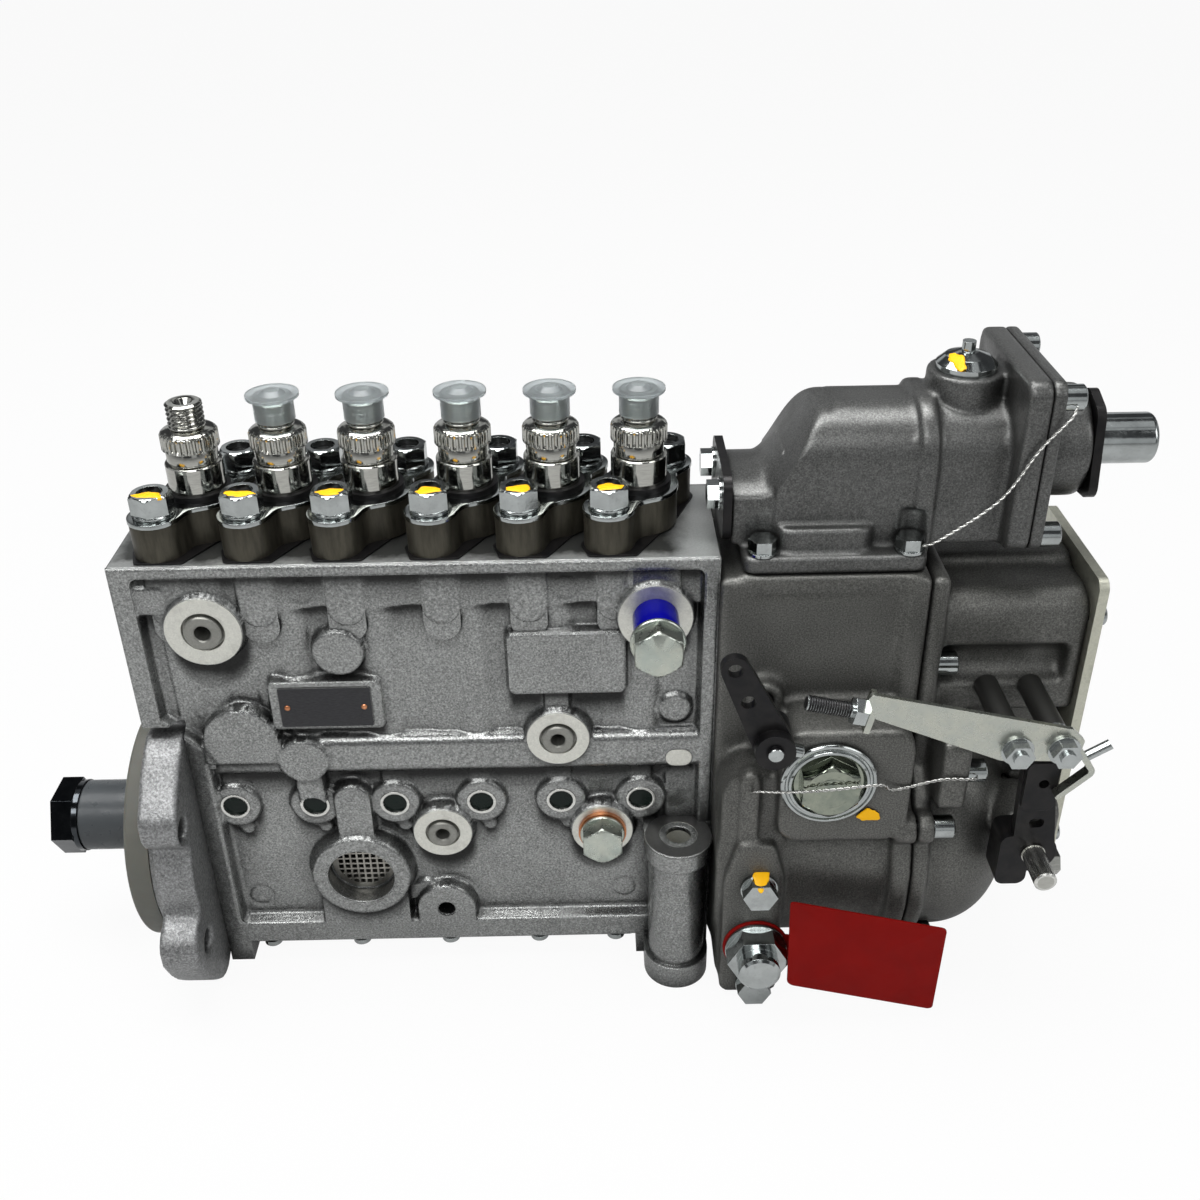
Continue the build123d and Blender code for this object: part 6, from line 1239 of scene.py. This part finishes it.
class PUMP_OT_tag(Operator):
    """Bowed tag on its strap"""

    bl_idname = "pump.tag"
    bl_label = "Hanging tag"

    def execute(self, context):
        bow = sizes_mm("tag_bow")
        back_y = -75.2
        # Left end and run of the tag's upper and lower edge, as x and z.
        upper_end, upper_run = np.array((270.8, 6.6)), np.array((68.4, -17.8))
        lower_end, lower_run = np.array((271.8, -39.8)), np.array((65.6, -17.4))
        sheet = slab(rounded_outline(2.0, 2.0, 0.08), 0.8, 0.02, rings=16)
        across, up, level = sheet[..., 0] / 2 + 0.5, sheet[..., 1] / 2 + 0.5, sheet[..., 2]
        top = upper_end + across[..., None] * upper_run
        base = lower_end + across[..., None] * lower_run
        spot = base + up[..., None] * (top - base)
        bend = bow * np.sin(np.pi * across) + 0.35 * np.sin(across * 7.0 + up * 3.0) - bow * up
        points = np.stack([spot[..., 0], back_y - level - bend, spot[..., 1]], axis=-1)

        ring = ((14.4, 0.0), (14.4, 0.8), (14.1, 1.0), (7.2, 1.0), (7.1, 0.8), (7.1, 0.0))
        strap = lathe(ring, TIMING_PLUG, steps=64)
        # The tongue is a flat strip along a folded line, seen from above as x and y.
        fold = [(266.0, -62.4), (272.2, -62.5), (274.0, -63.6), (274.4, -67.0), (274.6, -72.0)]
        fold += [(275.4, back_y)]
        line = smooth_path(np.column_stack([fold, np.zeros(len(fold))]), per_run=6)[:, :2]
        half_width = np.array((6.3, 6.3, -6.3, -6.3))
        half_thickness = np.array((0.4, -0.4, -0.4, 0.4))
        edge = np.gradient(line, axis=0)
        edge = edge / np.linalg.norm(edge, axis=1)[:, None]
        side = np.stack([-edge[:, 1], edge[:, 0]], axis=1)
        spots = line[:, None] + half_thickness[None, :, None] * side[:, None, :]
        heights = TIMING_PLUG[2] + half_width[None, :, None]
        tongue = np.concatenate([spots, np.broadcast_to(heights, (*spots.shape[:2], 1))], axis=-1)
        grids = [(points, True), strap, (tongue, True)]
        piece("bowed_tag", grids, "red_plastic", sharp=50, replaced=("red_tag",))
        return {"FINISHED"}


class PUMP_OT_walls(Operator):
    """Cast front and back walls of the pump housing"""

    bl_idname = "pump.walls"
    bl_label = "Cast walls"

    def execute(self, context):
        cuts = [(barrel, BUSH_Z, 6.3) for barrel in BARREL_X]
        cuts += [(*INLET, 15.35), (*OIL_HOLE, 4.2)]
        rings = [(x, z, radius + 0.1) for x, z, radius in FRONT_BOSSES]
        rings += [(barrel, BUSH_Z, 7.6) for barrel in BARREL_X]
        rings += [(*INLET, 21.7), (85.8, 108.7, 10.3)]
        cast_wall("cast_front_wall", front_wall, 1, cuts, rings, 0.7, 5)
        cast_wall("cast_back_wall", back_wall, -1, [], [], 1.0, 6)
        return {"FINISHED"}


class PUMP_OT_castings(Operator):
    """Softened castings of the governor, the compensator and the drive flange"""

    bl_idname = "pump.castings"
    bl_label = "Softened castings"

    def execute(self, context):
        sizes = context.scene.pump_sizes
        for node, slot, finish, share, shaping in (
            ("governor_housing", "governor_cast", "governor_cast", 1.05, None),
            ("governor_cover", "governor_cast", "governor_cast", 1.05, None),
            ("compensator_housing", "governor_cast", "compensator_cast", 0.8, scooped),
            ("compensator_cover", "governor_cast", "compensator_cast", 0.65, None),
            ("drive_flange", "flange_cast", "flange_cast", 0.8, None),
        ):
            softened(node, finish, sizes.voxel * share, sizes.soften, shaping)
        return {"FINISHED"}


# ------------------------------------------------------------------ studio
def lay_floor(height=-0.062, reach=6.0):
    """Pale square floor, nearly white to the camera and a faint glow in mirrored rays."""
    mesh = bpy.data.meshes.new("floor")
    corners = [(sx * reach, sy * reach, height) for sx, sy in ((-1, -1), (1, -1), (1, 1), (-1, 1))]
    mesh.from_pydata(corners, [], [(0, 1, 2, 3)])
    floor = bpy.data.objects.new("floor", mesh)
    bpy.context.scene.collection.objects.link(floor)
    ground = Finish("pale floor").set(Roughness=0.7, Metallic=0.0)
    ground.to("Base Color", ground.mix(ground.noise(9.0), (0.5, 0.5, 0.5), (0.54, 0.54, 0.54)))
    rays = ground.node("ShaderNodeLightPath").outputs
    mirrored = ground.maths("MAXIMUM", rays["Is Glossy Ray"], rays["Is Transmission Ray"])
    mirrored = ground.maths("MULTIPLY", mirrored, 0.15)
    direct = ground.maths("MULTIPLY", rays["Is Camera Ray"], 0.94)
    white = (("Color", (1.0, 1.0, 1.0, 1.0)), ("Strength", 1.0))
    pale = ground.node("ShaderNodeEmission", white).outputs[0]
    share = ground.maths("MAXIMUM", direct, mirrored)
    parts = ((0, share), (1, ground.shader.outputs[0]), (2, pale))
    blend = ground.node("ShaderNodeMixShader", parts).outputs[0]
    ground.tree.links.new(blend, ground.tree.nodes["Material Output"].inputs["Surface"])
    mesh.materials.append(ground.material)


def light_room():
    """World of pale and dark panes for the metal to mirror, plain white to the camera."""
    world = bpy.data.worlds.new("soft room")
    bpy.context.scene.world = world
    world.use_nodes = True
    tree = world.node_tree
    place = add_node(tree, "ShaderNodeTexCoord").outputs["Generated"]
    wanted = (("Vector", place), ("Scale", 2.6), ("Detail", 1.0))
    cloud = add_node(tree, "ShaderNodeTexNoise", wanted).outputs["Fac"]
    wanted = (("Value", cloud), ("From Min", 0.49), ("From Max", 0.57))
    panes = add_node(tree, "ShaderNodeMapRange", wanted).outputs["Result"]
    tone = add_mix(tree, panes, (0.07, 0.072, 0.076), (0.62, 0.63, 0.64))
    direct = add_node(tree, "ShaderNodeLightPath").outputs["Is Camera Ray"]
    seen = add_mix(tree, direct, tone, (1.0, 1.0, 1.0))
    tree.links.new(seen, tree.nodes["Background"].inputs["Color"])


def stand(obj, aim, spot):
    """Links an object at a spot, turned by the columns x, y, z of its frame."""
    bpy.context.scene.collection.objects.link(obj)
    rows = [[*aim[row], spot[row]] for row in range(3)]
    obj.matrix_world = Matrix(rows + [[0, 0, 0, 1]])


def hang_lamps():
    """Three soft lamps that face the middle of the pump."""
    middle = np.array((0.18, 0.0, 0.06))
    for name, spot, size, watts in (
        ("top lamp", (0.0, 0.1, 1.4), (1.4, 0.7), 28.0),
        ("key lamp", (-0.3, -1.2, 1.3), (1.7, 0.4), 17.0),
        ("fill lamp", (1.4, -0.8, 0.9), (0.6, 0.8), 4.0),
    ):
        data = bpy.data.lights.new(name, "AREA")
        data.shape = "RECTANGLE"
        data.size, data.size_y = size
        data.energy = watts
        stand(bpy.data.objects.new(name, data), axes_of(np.array(spot) - middle), spot)


def set_camera():
    """Camera that looks down and a little to the right, slightly rolled."""
    lens = bpy.data.cameras.new("camera")
    lens.sensor_width = 36.0
    lens.lens = 38.818
    lens.clip_end = 50.0
    camera = bpy.data.objects.new("camera", lens)
    pitch, yaw, roll = np.radians((30.7285, 0.4431, -0.8439))
    ahead = np.array((np.sin(yaw) * np.cos(pitch), np.cos(yaw) * np.cos(pitch), -np.sin(pitch)))
    right = np.array((np.cos(yaw), -np.sin(yaw), 0.0))
    upward = np.cross(right, ahead)
    side = np.cos(roll) * right + np.sin(roll) * upward
    top = np.cos(roll) * upward - np.sin(roll) * right
    stand(camera, np.stack([side, top, -ahead], axis=1), (0.1894, -0.4756, 0.3949))
    bpy.context.scene.camera = camera


class PUMP_OT_stage(Operator):
    """Pale floor, soft lamps, backdrop light and the camera"""

    bl_idname = "pump.stage"
    bl_label = "Studio"

    def execute(self, context):
        lay_floor()
        light_room()
        hang_lamps()
        set_camera()
        context.scene.view_settings.view_transform = "Standard"
        return {"FINISHED"}


OPERATORS = (
    PUMP_OT_finishes,
    PUMP_OT_valve_holders,
    PUMP_OT_drive_splines,
    PUMP_OT_wires,
    PUMP_OT_paint,
    PUMP_OT_nuts,
    PUMP_OT_clamps,
    PUMP_OT_faces,
    PUMP_OT_bushes,
    PUMP_OT_tag,
    PUMP_OT_walls,
    PUMP_OT_castings,
    PUMP_OT_stage,
)


class PUMP_PT_panel(Panel):
    """Sidebar list of the pump's settings and steps"""

    bl_label = "Injection Pump"
    bl_idname = "PUMP_PT_panel"
    bl_space_type = "VIEW_3D"
    bl_region_type = "UI"
    bl_category = "Pump"

    def draw(self, context):
        for group in (context.scene.pump_look, context.scene.pump_sizes):
            box = self.layout.box()
            for key in group.bl_rna.properties.keys():
                if key not in ("rna_type", "name"):
                    box.prop(group, key)
        for step in OPERATORS:
            self.layout.operator(step.bl_idname)


CLASSES = (PumpLook, PumpSizes, *OPERATORS, PUMP_PT_panel)


def register():
    for cls in CLASSES:
        bpy.utils.register_class(cls)
    bpy.types.Scene.pump_look = PointerProperty(type=PumpLook)
    bpy.types.Scene.pump_sizes = PointerProperty(type=PumpSizes)


def unregister():
    del bpy.types.Scene.pump_look
    del bpy.types.Scene.pump_sizes
    for cls in reversed(CLASSES):
        bpy.utils.unregister_class(cls)


def corners(bounds):
    """Lowest and highest corner as plain lists."""
    return [[float(value) for value in corner] for corner in bounds]


def main():
    register()
    for step in OPERATORS:
        group, name = step.bl_idname.split(".")
        getattr(getattr(bpy.ops, group), name)()


if __name__ == "__main__":
    main()
